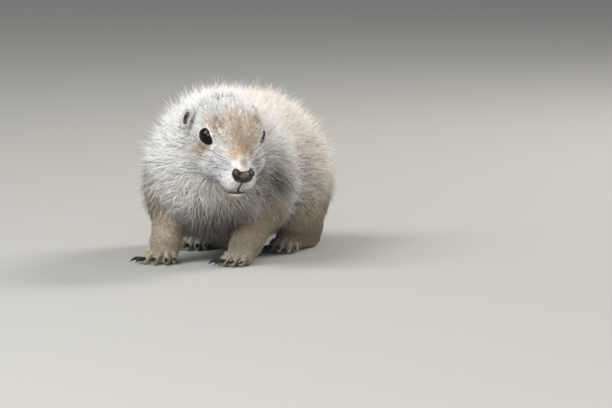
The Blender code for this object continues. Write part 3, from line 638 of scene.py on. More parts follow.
def coordinates_of(target):
    """Points and vertex normals of a mesh as arrays."""
    mesh = target.data
    points, normals = np.empty(len(mesh.vertices) * 3), np.empty(len(mesh.vertices) * 3)
    mesh.vertices.foreach_get("co", points)
    mesh.vertex_normals.foreach_get("vector", normals)
    return points.reshape(-1, 3), normals.reshape(-1, 3)


# Lids, on the globe: an egg-shaped opening, blunt behind and drawn to a point low at its front corner
LID_SKIN = 0.42 * MM                # how thick they are
GLOBE_RADIUS = EYE_RADIUS * 0.985   # of the eye itself, a hair's breadth inside them


def lid_oval(turns):
    """Places of the lids' edge along and across the slit, at angles from the front corner downwards."""
    front = (1 + np.cos(turns)) / 2
    along = (3.7 * np.cos(turns) + 0.5 * front**6 + 0.1) * MM
    over = (3.0 * np.sin(turns) * (1 - 0.14 * np.cos(turns)) + 0.9 * front**3 - 0.3) * MM
    return along, over


def lid_reach(side):
    """How far a point lies from the middle of the lids, where their edge is 1, and how far ahead of the eye's
    middle, from folded head axes."""
    centre, look, long, short = eye_frame(1)
    off = side - centre
    along, over = lid_oval(np.linspace(0, 2 * math.pi, 180, endpoint=False))
    edge_turns, edge = np.arctan2(over, along), np.hypot(along, over)
    order = np.argsort(edge_turns)
    turns = np.arctan2(off @ short, off @ long)
    reach = np.interp(turns, edge_turns[order], edge[order], period=2 * math.pi)
    return np.hypot(off @ long, off @ short) / reach, off @ look


# Markings. Each colour is laid over the ones before it with a soft edge, as a share of the point


def mark(local, centre, radii):
    """1 in the middle of a soft oval patch and 0 outside it, in the axes of the points given, in mm."""
    reach = np.linalg.norm((local - np.array(centre, float)) / np.array(radii, float), axis=1)
    return 1 - smooth(reach, 0.35, 1.2)


def wave_set(scale, seed, waves=14):
    """Directions and phases of sine waves about scale metres long."""
    draw = np.random.default_rng(seed)
    directions = unit(draw.normal(size=(waves, 3))) * (2 * math.pi / scale)
    directions = directions * draw.uniform(0.7, 1.4, (waves, 1))
    return directions, draw.uniform(0, 2 * math.pi, waves)


def soft_noise(points, scale, seed, waves=14):
    """A smooth field between about -1 and 1, the sum of the sines of such waves."""
    directions, phases = wave_set(scale, seed, waves)
    return np.sin(points @ directions.T + phases).sum(axis=1) / math.sqrt(waves)


def noise_slope(points, scale, seed, waves=14):
    """The direction in which such a field rises, as a vector about 1 long."""
    directions, phases = wave_set(scale, seed, waves)
    return np.cos(points @ directions.T + phases) @ unit(directions) * (1.2 / math.sqrt(waves))


TAIL_TIP_EDGE = 96, 105         # between which places along the body, in mm, the tail turns dark

# Patches of the face, laid one after the other: colour, share in the middle, middle and radii in mm in head
# axes, and the part of the share that is even and the part that follows fine noise
UPPER_FACE = (
    (SAND, 0.85, (3.5, 0, 8), (10, 13, 8.5), 0.85, 0.35),                  # forehead
    (SAND, 0.50, (6, 0, 6), (9, 9, 8), 1, 0),
    (BROW_BROWN, 0.80, (1.8, 10.4, 7.4), (6.4, 4.6, 5.6), 0.8, 0.5),       # brows
    (BROW_BROWN, 0.62, (4.2, 12.6, 4.6), (4.2, 3.4, 4.6), 0.8, 0.5),
    (SAND, 0.45, (-4, 13, 7), (6, 5, 5), 1, 0),
    (ORANGE_BUFF, 0.85, (10.6, 0, -0.4), (4.8, 5.4, 3.8), 0.95, 0.12),     # bridge of the nose
    (ORANGE_BUFF, 0.60, (11.6, 4.2, -2.8), (4.0, 2.6, 3.0), 1, 0),
    (STRIP_GREY, 0.95, (15.6, 0, -4.6), (3.6, 2.5, 3.0), 1, 0),
    (MUZZLE_GREY, 0.85, (9.5, 9, -9.5), (8, 6.5, 7), 1, 0),
)
LOWER_FACE = (
    (MUZZLE_GREY, 0.85, (13, 5, -16), (6, 6.5, 4.5), 1, 0),                # whisker pads
    (ORANGE_BUFF, 0.70, (0.8, 15.6, -6.6), (4.4, 5.0, 4.8), 1, 0),         # spot under the eye
    (BROW_BROWN, 0.50, (0.8, 15.6, -6.4), (3.6, 4.6, 4.0), 0.85, 0.4),
    (SAND, 0.45, (-4, 17, -9), (8, 6, 7), 1, 0),
)
LIPS_AND_CHIN = (
    (LIP_WHITE, 0.5, (17, 0, -21.4), (6, 6.5, 1.3), 1, 0),
    (CHIN_BUFF, 0.9, (14.5, 0, -24.1), (7.5, 5.6, 3.0), 1, 0),
)


def lay(colour, over, share, chance):
    """A colour over another. Chance moves each share that isn't 0 or 1 towards the one or the other."""
    share = np.clip(share, 0, 1)
    share = np.clip(share + chance * 4 * share * (1 - share), 0, 1)[:, None]
    return colour * (1 - share) + over * share


def lay_patches(colour, patches, side, fine, chance):
    """The patches of a table over a colour, from folded head axes in mm."""
    for over, share, centre, radii, even, varied in patches:
        colour = lay(colour, over, share * mark(side, centre, radii) * (even + varied * fine), chance)
    return colour


def trunk_markings(points, patchy, fine, chance):
    """White on the neck, sandy over the back and rump, streaked with grey on the flanks, grey on chest and
    belly. The flanks' grey is partly painted shade behind the forelegs, and the grey of chest and belly partly
    painted shade under the head and body. Also the shares of the flank, the belly and the chest."""
    x, y, height = (points / MM).T
    colour = np.tile(WHITE, (len(points), 1))
    colour = lay(colour, SAND, (0.66 + 0.18 * patchy) * smooth(height, 56, 72) * smooth(y, -52, -24), chance)
    colour = lay(colour, CREAM, 0.55 * smooth(y, -40, 10), chance)
    colour = lay(colour, SAND, (0.55 + 0.2 * patchy) * smooth(y, -5, 45) * smooth(height, 12, 50), chance)
    # Grey on the flanks behind the forelegs: partly grey fur, partly painted shade
    flank = smooth(np.abs(x), 18, 30) * smooth(height, 16, 30) * (1 - smooth(height, 44, 60))
    flank = flank * smooth(y, -58, -38) * (1 - smooth(y, 8, 30))
    colour = lay(colour, GREY_FUR, flank * (0.66 + 0.38 * patchy + 0.25 * fine), chance)
    # Grey low on the body between the legs: partly grey belly fur, partly painted shade under the body
    under = (1 - smooth(height, 14, 36)) * smooth(-np.abs(x), -30, -14)
    colour = lay(colour, CHEST_GREY_AND_SHADE, 0.9 * under, chance)
    # Grey on the chest: partly grey fur, partly painted shadow under the chin. The patch on the left side of
    # the neck is painted shadow beside the turned head's chin
    middle = mark(points / MM, (11, -60, 19), (25, 26, 17))
    left = mark(points / MM, (28, -54, 36), (14, 22, 15))
    chest = np.maximum(middle, 0.9 * left)
    return lay(colour, CHEST_GREY_AND_SHADE, 0.95 * chest * (0.9 + 0.15 * fine), chance), flank, under, chest


def face_markings(points, local, fine, chance):
    """The tables' patches, with grey speckles on the muzzle, a pale ring round the eye and a grey throat,
    partly grey fur and partly painted shade under the chin.
    """
    side = folded(local)
    colour = np.tile(WHITE, (len(points), 1))
    colour = lay_patches(colour, UPPER_FACE, side, fine, chance)
    speckle = 0.5 + 0.5 * soft_noise(points, 1.3 * MM, SEED + 2)
    speckle = 0.42 * speckle * smooth(local[:, 0], 5, 12) * smooth(-local[:, 2], 7, 12)
    colour = lay(colour, GREY_FUR, speckle, chance)
    colour = lay_patches(colour, LOWER_FACE, side, fine, chance)
    reach, ahead = lid_reach(side * MM)
    colour = lay(colour, WHITE, 0.22 * (1 - smooth(reach, 1.15, 1.5)) * (ahead > 0), chance)
    colour = lay_patches(colour, LIPS_AND_CHIN, side, fine, chance)
    # Grey under the chin: partly grey fur, partly painted shade under the chin
    throat = 0.8 * smooth(-local[:, 2], 23.0, 28.0) * (1 - smooth(local[:, 0], 8, 13))
    return lay(colour, CHEST_GREY_AND_SHADE, throat, chance)


def markings(points, shares=None, mixing=0.0, seed=0):
    """The colour of the coat's hair at points of the level sets' frame, and the share of dark underfur there,
    which on flanks, belly and chest is partly painted shade.
    With mixing, a hair takes the one colour or the other more than a blend of both, so that a patch breaks up
    into single hairs at its edges."""
    head, leg, tail = shares or region_shares(points)
    y, height = points[:, 1] / MM, points[:, 2] / MM
    patchy = soft_noise(points, 13 * MM, SEED)
    fine = soft_noise(points, 3.2 * MM, SEED + 1)
    chance = np.random.default_rng(seed).uniform(-0.5, 0.5, len(points)) * mixing
    trunk, flank, under, chest = trunk_markings(points, patchy, fine, chance)
    face = face_markings(points, head_local(points), fine, chance)
    colour = trunk * (1 - head[:, None]) + face * head[:, None]
    colour = lay(colour, LEG_TAN, leg * (1 - smooth(height, 22, 44)) * 0.85, chance)
    colour = lay(colour, FOOT_BUFF, leg * (1 - smooth(height, 4, 22)) * 0.95, chance)
    colour = lay(colour, SAND, tail * 0.6, chance)
    colour = lay(colour, DARK_TAIL, tail * smooth(y, *TAIL_TIP_EDGE), chance)
    # The dark share: underfur, and on flanks, belly and chest partly painted shade from the same masks
    dark = np.clip(0.45 * flank * (0.8 + 0.6 * patchy) + 0.5 * under + 0.5 * chest, 0, 1) * (1 - head)
    return colour, dark


# Hair: where it lies, how long it is and how far it stands out


def face_lie(local):
    """The lie of the face's hair, in the world: from the nose backwards, and away from each eye close to it.
    The points are in head axes, in mm."""
    over_face = unit(unit(local - np.array([17.5, 0.0, -6.0])) + np.array([-0.45, 0.0, -0.05]))
    eye = np.array([0.3, 0.0, 0.0]) + (EYE_CENTRE + EYE_AXIS * LID_FORWARD) / MM
    mirror = np.ones_like(local)
    mirror[:, 1] = np.where(local[:, 1] < 0, -1.0, 1.0)
    from_eye = local - eye * mirror
    around = (1 - smooth(np.linalg.norm(from_eye, axis=1), 4.5, 8.5))[:, None]
    over_face = over_face * (1 - 0.8 * around) + unit(from_eye) * around * 0.9
    return unit(over_face @ HEAD_AXES)


def lie_of(points, normals, shares):
    """The direction in which the coat lies at each point: from nose to tail and outwards over the shoulders,
    down the chest, down the legs to the toes, and along the tail."""
    head, leg, tail = (share[:, None] for share in shares)
    x, y, height = (points / MM).T
    outward = np.column_stack([x / 34, 0 * x, (height - 40) / 40])
    flow = unit(np.array([0.0, 1.0, -0.30]) + outward * (0.75 * (1 - smooth(y, 10, 55)))[:, None])
    flow = flow * (1 - head) + face_lie(head_local(points)) * head
    on_foot = (1 - smooth(height, 7, 14))[:, None]
    down = unit(np.array([0.0, 0.14, -1.0]) * (1 - on_foot) + np.array([0.0, -1.0, -0.25]) * on_foot)
    flow = flow * (1 - leg) + down * leg
    flow = flow * (1 - tail) + unit([-0.22, 1.0, -0.3]) * tail
    chest = (smooth(-y, 48, 58) * (1 - smooth(height, 30, 46)))[:, None] * (1 - head) * (1 - leg)
    flow = flow * (1 - chest) + unit([0.0, -0.25, -1.0]) * chest
    return unit(flow - normals * (flow * normals).sum(axis=1, keepdims=True))


def scatter(skin, density, count, seed):
    """Roots spread over a mesh by area and density: their points and normals."""
    draw = np.random.default_rng(seed)
    points, normals = coordinates_of(skin)
    mesh = skin.data
    mesh.calc_loop_triangles()
    triangles = np.empty(len(mesh.loop_triangles) * 3, np.int32)
    mesh.loop_triangles.foreach_get("vertices", triangles)
    triangles = triangles.reshape(-1, 3)
    a, b, c = (points[triangles[:, i]] for i in range(3))
    area = np.linalg.norm(np.cross(b - a, c - a), axis=1) / 2
    edges = np.cumsum(area * density[triangles].mean(axis=1))
    places = (np.arange(count) + draw.uniform(0, 1, count)) / count * edges[-1]
    chosen = np.clip(np.searchsorted(edges, places), 0, len(triangles) - 1)
    r, s = np.sqrt(draw.uniform(0, 1, count)), draw.uniform(0, 1, count)
    shares = np.stack([1 - r, r * (1 - s), r * s], axis=1)[:, :, None]
    roots = (points[triangles[chosen]] * shares).sum(axis=1)
    leans = unit((normals[triangles[chosen]] * shares).sum(axis=1))
    return roots, leans


# The body's middle line and its unwrap, each as places along the body in mm and the values there
MIDDLE_HEIGHTS = [-90, -60, 20, 70, 120], [48, 40, 38, 24, 8]
MIDDLE_ASIDES = [-95, -78, -50, 70, 120], [24, 19, 2, 0, -13]
UNWRAPPED_PLACES = [-96, -60, 75, 122], [0.0, 0.36, 0.88, 1.0]


def unwrap(points):
    """Places on a flattened body: round it by angle, and along it from nose to tail, each from 0 to 1."""
    place = points[:, 1] / MM
    off_middle = points[:, 0] - np.interp(place, *MIDDLE_ASIDES) * MM
    above_middle = points[:, 2] - np.interp(place, *MIDDLE_HEIGHTS) * MM
    turn = np.arctan2(off_middle, above_middle) / (2 * math.pi) + 0.5
    along = np.interp(place, *UNWRAPPED_PLACES)
    return np.stack([0.01 + 0.97 * turn, 0.01 + 0.97 * along], axis=1)


# The triangles of one tuft, and its points' places in its patch of the bake map. Points 0 to 2 ring the root,
# 3 to 5 the bend of a bent one, and the last is the tip
BENT_SPIKE = np.array([[0, 2, 1], [0, 1, 4], [0, 4, 3], [1, 2, 5], [1, 5, 4], [2, 0, 3], [2, 3, 5],
                       [3, 4, 6], [4, 5, 6], [5, 3, 6]])
BENT_PATCH = np.array([[-0.5, 0], [0.5, 0], [0, 0.1], [-0.5, 0.45], [0.5, 0.45], [0, 0.55], [0, 1.0]])
SHORT_SPIKE = np.array([[0, 2, 1], [0, 1, 3], [1, 2, 3], [2, 0, 3]])
SHORT_PATCH = np.array([[-0.5, 0], [0.5, 0], [0, 0.2], [0, 1.0]])


class Tufts(NamedTuple):
    """Where the tufts of a piece stand and how, in arrays with a row for each tuft."""

    roots: np.ndarray
    normals: np.ndarray     # of the skin at each root
    flows: np.ndarray       # the way in which the coat lies there
    lengths: np.ndarray
    lifts: np.ndarray       # angles off the skin, in radians
    widths: np.ndarray


def tuft_mesh(name, tufts, bent, seed):
    """Three-sided closed spikes. Each leaves its root at a lift from the skin, is drawn a little towards its
    neighbours and ends in a point. A bent one turns towards the lie of the coat two fifths of the way."""
    draw = np.random.default_rng(seed)
    roots, normals, flows, lengths, lifts, widths = tufts
    count = len(roots)
    local = roots - SHIFT
    sway = draw.normal(0, 0.10 if bent else 0.17, (count, 3))
    strength = (1 + 1.2 * smooth(lengths / MM, 8.5, 13))[:, None]
    start = unit(normals * np.sin(lifts)[:, None] + flows * np.cos(lifts)[:, None] + sway)
    foot = roots - normals * (0.22 if bent else 0.06) * MM
    if bent:
        clump = noise_slope(local, 2.4 * MM, CLUMP_SEED) * 0.34
        clump = clump + noise_slope(local, 6.5 * MM, CLUMP_SEED + 1) * 0.22
        later = lifts * 0.62
        end = normals * np.sin(later)[:, None] + flows * np.cos(later)[:, None]
        end = unit(end + sway * 1.3 + clump * strength)
        bend = foot + start * (lengths * 0.42)[:, None]
        tip = bend + end * (lengths * 0.58)[:, None]
        rings = ((foot, widths * 0.40), (bend, widths * 0.5))
    else:
        gather = noise_slope(local, 1.7 * MM, CLUMP_SEED + 2) * 0.28
        tip = foot + unit(start + gather) * lengths[:, None]
        rings = ((foot, widths * 0.5),)
    across = unit(np.cross(start, normals + draw.normal(0, 0.35, (count, 3))))
    over = unit(np.cross(across, start))
    points = []
    for middle, wide in rings:
        for turn in (0.0, 2 * math.pi / 3, 4 * math.pi / 3):
            aside = across * (wide * math.cos(turn))[:, None] + over * (wide * 0.6 * math.sin(turn))[:, None]
            points.append(middle + aside)
    points = np.stack([*points, tip], axis=1)
    points[..., 2] = np.maximum(points[..., 2], 0.03 * MM)
    spike = BENT_SPIKE if bent else SHORT_SPIKE
    faces = (np.arange(count)[:, None, None] * points.shape[1] + spike).reshape(-1, 3)
    return mesh_from(name, points.reshape(-1, 3), faces)


def paint(target, colours, name="coat_colour"):
    """Gives each vertex a colour, four values in linear light."""
    layer = target.data.color_attributes.new(name, "FLOAT_COLOR", "POINT")
    full = np.ones((len(colours), 4), np.float32)
    full[:, :3] = np.clip(colours, 0, 1)
    layer.data.foreach_set("color", full.ravel())


def finish_coat(name, tufts, bent, colours, look, slot, seed):
    """One piece of coat: its spikes, their colours from root to tip, and a patch of the bake map for each."""
    target = tuft_mesh(name, tufts, bent, seed)
    root, middle, tip = colours
    rows = [root] * 3 + [middle] * 3 + [tip] if bent else [root * 0.35 + middle * 0.65] * 3 + [tip]
    paint(target, np.stack(rows, axis=1).reshape(-1, 3))
    patch, spike = (BENT_PATCH, BENT_SPIKE) if bent else (SHORT_PATCH, SHORT_SPIKE)
    places = unwrap(tufts.roots - SHIFT)[:, None, :] + patch[None, :, :] * PATCH_SIZE
    layer = target.data.uv_layers.new(name="OFBake")
    layer.data.foreach_set("uv", places[:, spike.ravel(), :].astype(np.float32).ravel())
    target.data.materials.append(look)
    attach(target, "root")


def streaks(points, flows, width, seed):
    """Noise drawn out along the lie of the coat: the share of each point that runs along its own lie is cut
    to a fifth before the noise is taken."""
    along = (points * flows).sum(axis=1, keepdims=True)
    return soft_noise(points - flows * along * 0.8, width, seed)


def crevice(points, normals, reach=1.4 * MM):
    """How deep a point lies in a crease, from 0 to 1. In one, the level set rises by less than the way gone
    off the skin."""
    rise = (whole_field(points + normals * reach) - whole_field(points)) / reach
    return 1 - smooth(rise, 0.35, 0.95)


GUARD_SHARE = 0.24      # how much of the long hair is guard hair: longer, steeper and paler at the tip
# Lifts of the hair off the skin, in degrees
FLAT_LIFT, FLUFFY_LIFT = 24, 37         # of the shortest hair, and what the deepest coat has more
SETTLED_LIFT = 19                       # what it has less over the rump
GUARD_LIFT, FOOT_LIFT = 9, 8            # what guard hairs and the feet's hair have more
BRUSH_END_LIFT, MOST_LIFT = 70, 86      # what the end of the tail has more, and the most that any has


def hair_shape(draw, local, normals, shares, fluffy):
    """Lengths from the coat's depth, lifts that grow with it, and widths. Hair is longer round the ears,
    closer to the leg towards the ankle, and drawn out to a pointed brush on the tail. Also which hairs are
    guard hairs, and how much each belongs to a foot."""
    _, leg, tail = shares
    count = len(local)
    y, height = local[:, 1] / MM, local[:, 2] / MM
    depth = coat_depth(local, shares)
    lengths = 1.14 * depth + (0.55 + 1.0 * smooth(depth / MM, 0.25, 1.6)) * MM
    lengths *= draw.uniform(0.70, 1.10, count)
    settled = smooth(y, 25, 62)
    lifts = np.radians(FLAT_LIFT + (FLUFFY_LIFT - SETTLED_LIFT * settled) * fluffy)
    lifts *= draw.uniform(0.7, 1.3, count)
    widths = (0.17 + 0.17 * fluffy) * MM * draw.uniform(0.75, 1.3, count)
    guard = (draw.uniform(0, 1, count) < GUARD_SHARE) & (fluffy > 0.4)
    lengths[guard] *= draw.uniform(1.15, 1.5, guard.sum())
    lifts[guard] += math.radians(GUARD_LIFT)
    widths[guard] *= 0.8
    near_ear = folded(in_head(local)) - ear_base(1)
    lengths *= 1 + 0.45 * (1 - smooth(np.linalg.norm(near_ear, axis=1) / MM, 4, 8))
    foot = leg * (1 - smooth(height, 8, 15))
    lengths *= 1 + (0.3 + 0.5 * smooth(height, 2.5, 8)) * foot
    widths += 0.05 * MM * foot
    lifts += math.radians(FOOT_LIFT) * foot
    brush = tail * smooth(y, 88, 108)
    lifts *= 1 - 0.45 * brush - leg * (1 - foot) * (0.25 + 0.25 * (1 - smooth(height, 12, 26)))
    end_on = smooth(normals @ unit([-0.3, 0.95, 0.0]), 0.45, 0.95)
    lifts += math.radians(BRUSH_END_LIFT) * tail * smooth(y, 96, 112) * end_on
    lifts = np.minimum(lifts, math.radians(MOST_LIFT))
    lengths *= 1 + brush * draw.uniform(-0.1, 0.9, count)
    return lengths, lifts, widths, guard, foot


def hair_tones(draw, local, normals, flows, shares, fluffy, foot):
    """How light each hair is: at random, in streaks along the lie, and with painted shade in the creases of the
    feet.
    """
    head, leg, _ = shares
    tone = 1.03 - (0.34 + 0.12 * leg) * draw.uniform(0, 1, len(local)) ** 2
    tone = tone + 0.05 * soft_noise(local, 6 * MM, TONE_SEED)
    strength = 0.13 * head + 0.12 * leg + 0.07
    streak_width = (1.1 + 1.1 * fluffy.mean()) * MM
    tone = tone + strength * streaks(local - HEAD_ORIGIN, flows, streak_width, TONE_SEED + 1)
    # Painted shade: hair on the feet is darkened where it lies deep in a crease, as between the toes
    low = np.flatnonzero(foot > 0.1)
    if len(low):
        tone[low] *= 1 - 0.6 * crevice(local[low], normals[low]) * foot[low]
    return tone


def grow_coat(name, roots, normals, bent, look, slot, seed):
    """Body hair, dark at the root, with the marking along its length and paler at the tip. Some hairs are
    darker all along, more of them where the coat is brown, and guard hairs end nearly white."""
    draw = np.random.default_rng(seed)
    count = len(roots)
    local = roots - SHIFT
    shares = region_shares(local)
    head, leg, tail = shares
    flows = lie_of(local, normals, shares)
    y, height = local[:, 1] / MM, local[:, 2] / MM
    fluffy = smooth(coat_depth(local, shares) / MM, 1.4, 6.0)
    lengths, lifts, widths, guard, foot = hair_shape(draw, local, normals, shares, fluffy)
    hair, dark = markings(local, shares, mixing=0.9, seed=seed + 3)
    hair = hair * hair_tones(draw, local, normals, flows, shares, fluffy, foot)[:, None]
    brown = head * smooth(1 - hair[:, 2] / np.maximum(hair[:, 0], 1e-3), 0.15, 0.45)
    dark_share = 0.06 + 0.16 * head + 0.14 * brown + 0.24 * leg + 0.10 * foot + 0.2 * tail
    shaded = draw.uniform(0, 1, count) < dark_share
    hair[shaded] = hair[shaded] * 0.56
    fluff = fluffy[:, None]
    # Roots and middles darker where the markings' dark share is: underfur, and on flanks, belly and chest
    # partly painted shade
    grey = fluff * (0.20 + 0.25 * dark[:, None])
    root = hair * (0.84 - 0.26 * fluff) * (1 - 0.4 * dark[:, None])
    root = root * (1 - grey) + UNDERFUR * grey
    middle = hair * (1 - 0.42 * dark[:, None]) * 0.94
    pale = (1 - tail) * (1 - 0.8 * (1 - smooth(height, 16, 34)))
    tip = hair + (WHITE - hair) * ((0.12 + 0.60 * pale * fluffy) * (1 - 0.95 * dark))[:, None]
    whiter = guard & (tail < 0.3)
    tip[whiter] += ((WHITE - tip) * (1 - 0.8 * dark)[:, None])[whiter] * 0.8
    frosted = 0.55 * tail * smooth(y, *TAIL_TIP_EDGE) * draw.uniform(0, 1, count) ** 2
    tip += (SAND * 0.6 - tip) * frosted[:, None]
    tufts = Tufts(roots, normals, flows, lengths, lifts, widths)
    finish_coat(name, tufts, bent, (root, middle, tip), look, slot, seed + 5)


# Materials


def node(tree, kind, settings=None, **links):
    """Adds a shader node, with its settings, and links or values for its inputs by name."""
    made = tree.nodes.new(kind)
    for key, value in (settings or {}).items():
        setattr(made, key, value)
    for key, value in links.items():
        place = made.inputs[key.replace("_", " ")]
        if isinstance(value, bpy.types.NodeSocket):
            tree.links.new(value, place)
        else:
            place.default_value = value
    return made


def start_material(name, colour=None, **finish):
    """A material of one even colour, or else of the colour painted on the piece's points. The finish gives
    other inputs of its shader by name."""
    made = bpy.data.materials.new(name)
    made.use_nodes = True
    shader = made.node_tree.nodes["Principled BSDF"]
    if colour is None:
        painted = node(made.node_tree, "ShaderNodeAttribute", {"attribute_name": "coat_colour"})
        made.node_tree.links.new(painted.outputs["Color"], shader.inputs["Base Color"])
    else:
        shader.inputs["Base Color"].default_value = (*colour, 1.0)
    for key, value in finish.items():
        shader.inputs[key.replace("_", " ")].default_value = value
    return made


def pup_fur():
    """Fine soft hair, with a low, broad sheen and no clear shine."""
    return start_material(
        "pup_fur", Roughness=0.58, Specular_IOR_Level=0.3, Sheen_Weight=0.10, Sheen_Roughness=0.5,
    )


GRAIN_SCALE = 2400.0    # hair roots in a metre of skin, one each 0.4 mm
PORE_SCALE = 2600.0     # pores in a metre of nose leather, one each 0.4 mm
TEAR_IOR = 1.336


def furred_skin():
    """Dull skin under fur, in the coat's marking darkened by underfur, with the fine grain of hair roots."""
    made = start_material("furred_skin", Roughness=0.75)
    tree = made.node_tree
    place = node(tree, "ShaderNodeTexCoord")
    grain = node(tree, "ShaderNodeTexNoise", Vector=place.outputs["Object"], Scale=GRAIN_SCALE, Detail=3.0)
    bump = node(tree, "ShaderNodeBump", Strength=0.35, Distance=0.3 * MM, Height=grain.outputs["Fac"])
    tree.links.new(bump.outputs["Normal"], tree.nodes["Principled BSDF"].inputs["Normal"])
    return made


def nose_leather():
    """Moist nose leather: cobbled pores under a thin wet film, which gives a soft shine."""
    made = start_material("nose_leather", Roughness=0.5, Coat_Weight=0.12, Coat_Roughness=0.18)
    tree = made.node_tree
    place = node(tree, "ShaderNodeTexCoord")
    pores = node(tree, "ShaderNodeTexVoronoi", Vector=place.outputs["Object"], Scale=PORE_SCALE)
    bump = node(tree, "ShaderNodeBump", Strength=0.5, Distance=0.2 * MM, Height=pores.outputs["Distance"])
    tree.links.new(bump.outputs["Normal"], tree.nodes["Principled BSDF"].inputs["Normal"])
    return made


def wet_eye():
    """A dark globe under a film of tears, which alone mirrors and gives one small sharp glint."""
    return start_material(
        "wet_eye", EYE_BLACK, Roughness=0.5, Specular_IOR_Level=0.0, Coat_Weight=0.9, Coat_IOR=TEAR_IOR,
    )


def lip_skin():
    """Bare dark skin between the lips, which reads as a soft line."""
    return start_material("lip_skin", LIP_SKIN, Roughness=0.5)


def lid_skin():
    """Bare skin at the lids' edge, nearly black and a little moist, which outlines the eye."""
    return start_material("lid_skin", LID_BROWN, Roughness=0.45)


def whisker_hair():
    """Stiff smooth hair, dark brown."""
    return start_material("whisker_hair", WHISKER_BROWN, Roughness=0.5)


def claw_horn():
    """Dark horn worn smooth, with a faint polish along its back."""
    return start_material("claw_horn", HORN_GREY, Roughness=0.34, Coat_Weight=0.15)


def studio_floor():
    """Matt card, which takes the shadow and mirrors next to nothing."""
    return start_material("studio_floor", FLOOR_GREY, Roughness=0.85, Specular_IOR_Level=0.15)


# The pieces


# Stops along each axis of the skin's grid, and the steps between them, in mm
SKIN_STOPS = [-46, -14, 40, 46], [-98, -44, -30, 126], [-1, 11, 32, 82, 84]
SKIN_STEPS = [0.85, 0.55, 0.85], [0.48, 0.7, 1.0], [0.5, 0.85, 0.6, 0.85]


def make_skin(look):
    """The bare form under the hair, one surface from nose to tail, with the finest grid at face and feet."""
    ticks = [ticks_between(stops, steps) for stops, steps in zip(SKIN_STOPS, SKIN_STEPS)]
    skin = keep_largest(grid_mesh("skin", skin_field, ticks))
    local = coordinates_of(skin)[0] - SHIFT
    shares = region_shares(local)
    hair, dark = markings(local, shares)
    under = (smooth(coat_depth(local, shares) / MM, 0.6, 5.0) * (1 - 0.6 * shares[0]))[:, None]
    # The skin is darker under deep coat and by the markings' dark share, which on flanks, belly and chest is
    # partly painted shade
    colour = hair * (0.78 - 0.42 * under) * (1 - 0.4 * dark[:, None]) + UNDERFUR * 0.30 * under
    near = head_local(local)
    lip = mark(folded(near), (16, 0, -20.0), (6, 5.0, 0.8))[:, None]
    colour = colour * (1 - 0.8 * lip) + LIP_SKIN * 0.8 * lip
    paint(skin, colour)
    skin.data.materials.append(look)
    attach(skin, "root")
    flesh = ["torso", "neck", "head", "tail", "tail_tip"]
    for side in ("left", "right"):
        flesh += [f"{part}_{side}" for part in ("foreleg", "hindleg", "forefoot", "hindfoot")]
    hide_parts(*flesh)
    return skin


def make_nose(look):
    """The nose pad with its two comma-shaped nostrils, paler along the top and the middle, partly its own paler
    skin and partly a painted highlight. The nostrils' insides are painted near black as shade.
    """
    middle = HEAD_ORIGIN + mm(16.5, 0, -10) @ HEAD_AXES
    nose = grid_mesh("nose_pad", lambda p: carve(nose_form(p), nostril_field(p) - 0.12 * MM, 0.3 * MM),
                     even_ticks(middle, 8.5 * MM, 0.2 * MM))
    points = coordinates_of(nose)[0] - SHIFT
    local = folded(in_head(points)) / MM
    tip = NOSE_TIP / MM
    # Paler along the top and middle: partly the pad's own paler skin, partly a painted highlight
    pale = 0.85 * mark(local, (tip[0] - 0.6, 0, tip[2] + 1.9), (4, 2.0, 2.2))[:, None]
    # Painted shade: the nostrils' insides and their edges are darkened nearly to black
    inside = (1 - smooth(nostril_field(points) / MM, 0.05, 0.55))[:, None]
    colour = NOSE_BROWN * (1 - pale) + NOSE_PALE_AND_HIGHLIGHT * pale
    paint(nose, colour * (1 - 0.93 * inside))
    nose.data.materials.append(look)
    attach(nose, "root")
    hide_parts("nose")


def outward(mesh):
    """Turns the faces of a closed mesh outwards."""
    form = bmesh.new()
    form.from_mesh(mesh)
    bmesh.ops.recalc_face_normals(form, faces=form.faces)
    form.to_mesh(mesh)
    form.free()


def place_mesh(name, points, faces, look):
    """A piece from points and faces of any number of corners, with its faces outwards."""
    mesh = bpy.data.meshes.new(name)
    mesh.from_pydata(np.asarray(points).tolist(), [], faces)
    outward(mesh)
    mesh.shade_smooth()
    made = bpy.data.objects.new(name, mesh)
    bpy.context.scene.collection.objects.link(made)
    mesh.materials.append(look)
    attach(made, "root")
    return made


def make_eye(side, look):
    """A globe with a slightly steeper cornea: circles round the line of sight, each as wide as its angle from
    that line gives."""
    name = "left" if side > 0 else "right"
    centre, axis, long, short = eye_frame(side)
    turns = np.linspace(0, 2 * math.pi, 48, endpoint=False)
    turns, rises = np.meshgrid(turns, np.linspace(0, math.pi, 33)[1:-1])
    bulge = 1 + 0.05 * (1 - smooth(rises, 0.35, 0.75))
    radius = GLOBE_RADIUS * bulge
    wide = radius * np.sin(rises)
    local = (radius * np.cos(rises))[..., None] * axis
    local = local + (wide * np.cos(turns))[..., None] * long + (wide * np.sin(turns))[..., None] * short
    rows, columns = rises.shape
    points = np.concatenate([local.reshape(-1, 3), [axis * radius[0, 0]], [-axis * GLOBE_RADIUS]])
    index = np.arange(rows * columns).reshape(rows, columns)
    right = np.roll(index, -1, axis=1)
    quads = np.stack([index[:-1], index[1:], right[1:], right[:-1]], axis=-1).reshape(-1, 4)
    north, south = rows * columns, rows * columns + 1
    caps = [(north, int(a), int(b)) for a, b in zip(index[0], right[0])]
    caps += [(south, int(b), int(a)) for a, b in zip(index[-1], right[-1])]
    faces = [*map(tuple, quads.tolist()), *caps]
    eye = place_mesh(f"eyeball_{name}", from_local(centre + points), faces, look)
    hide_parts(f"eye_{name}")


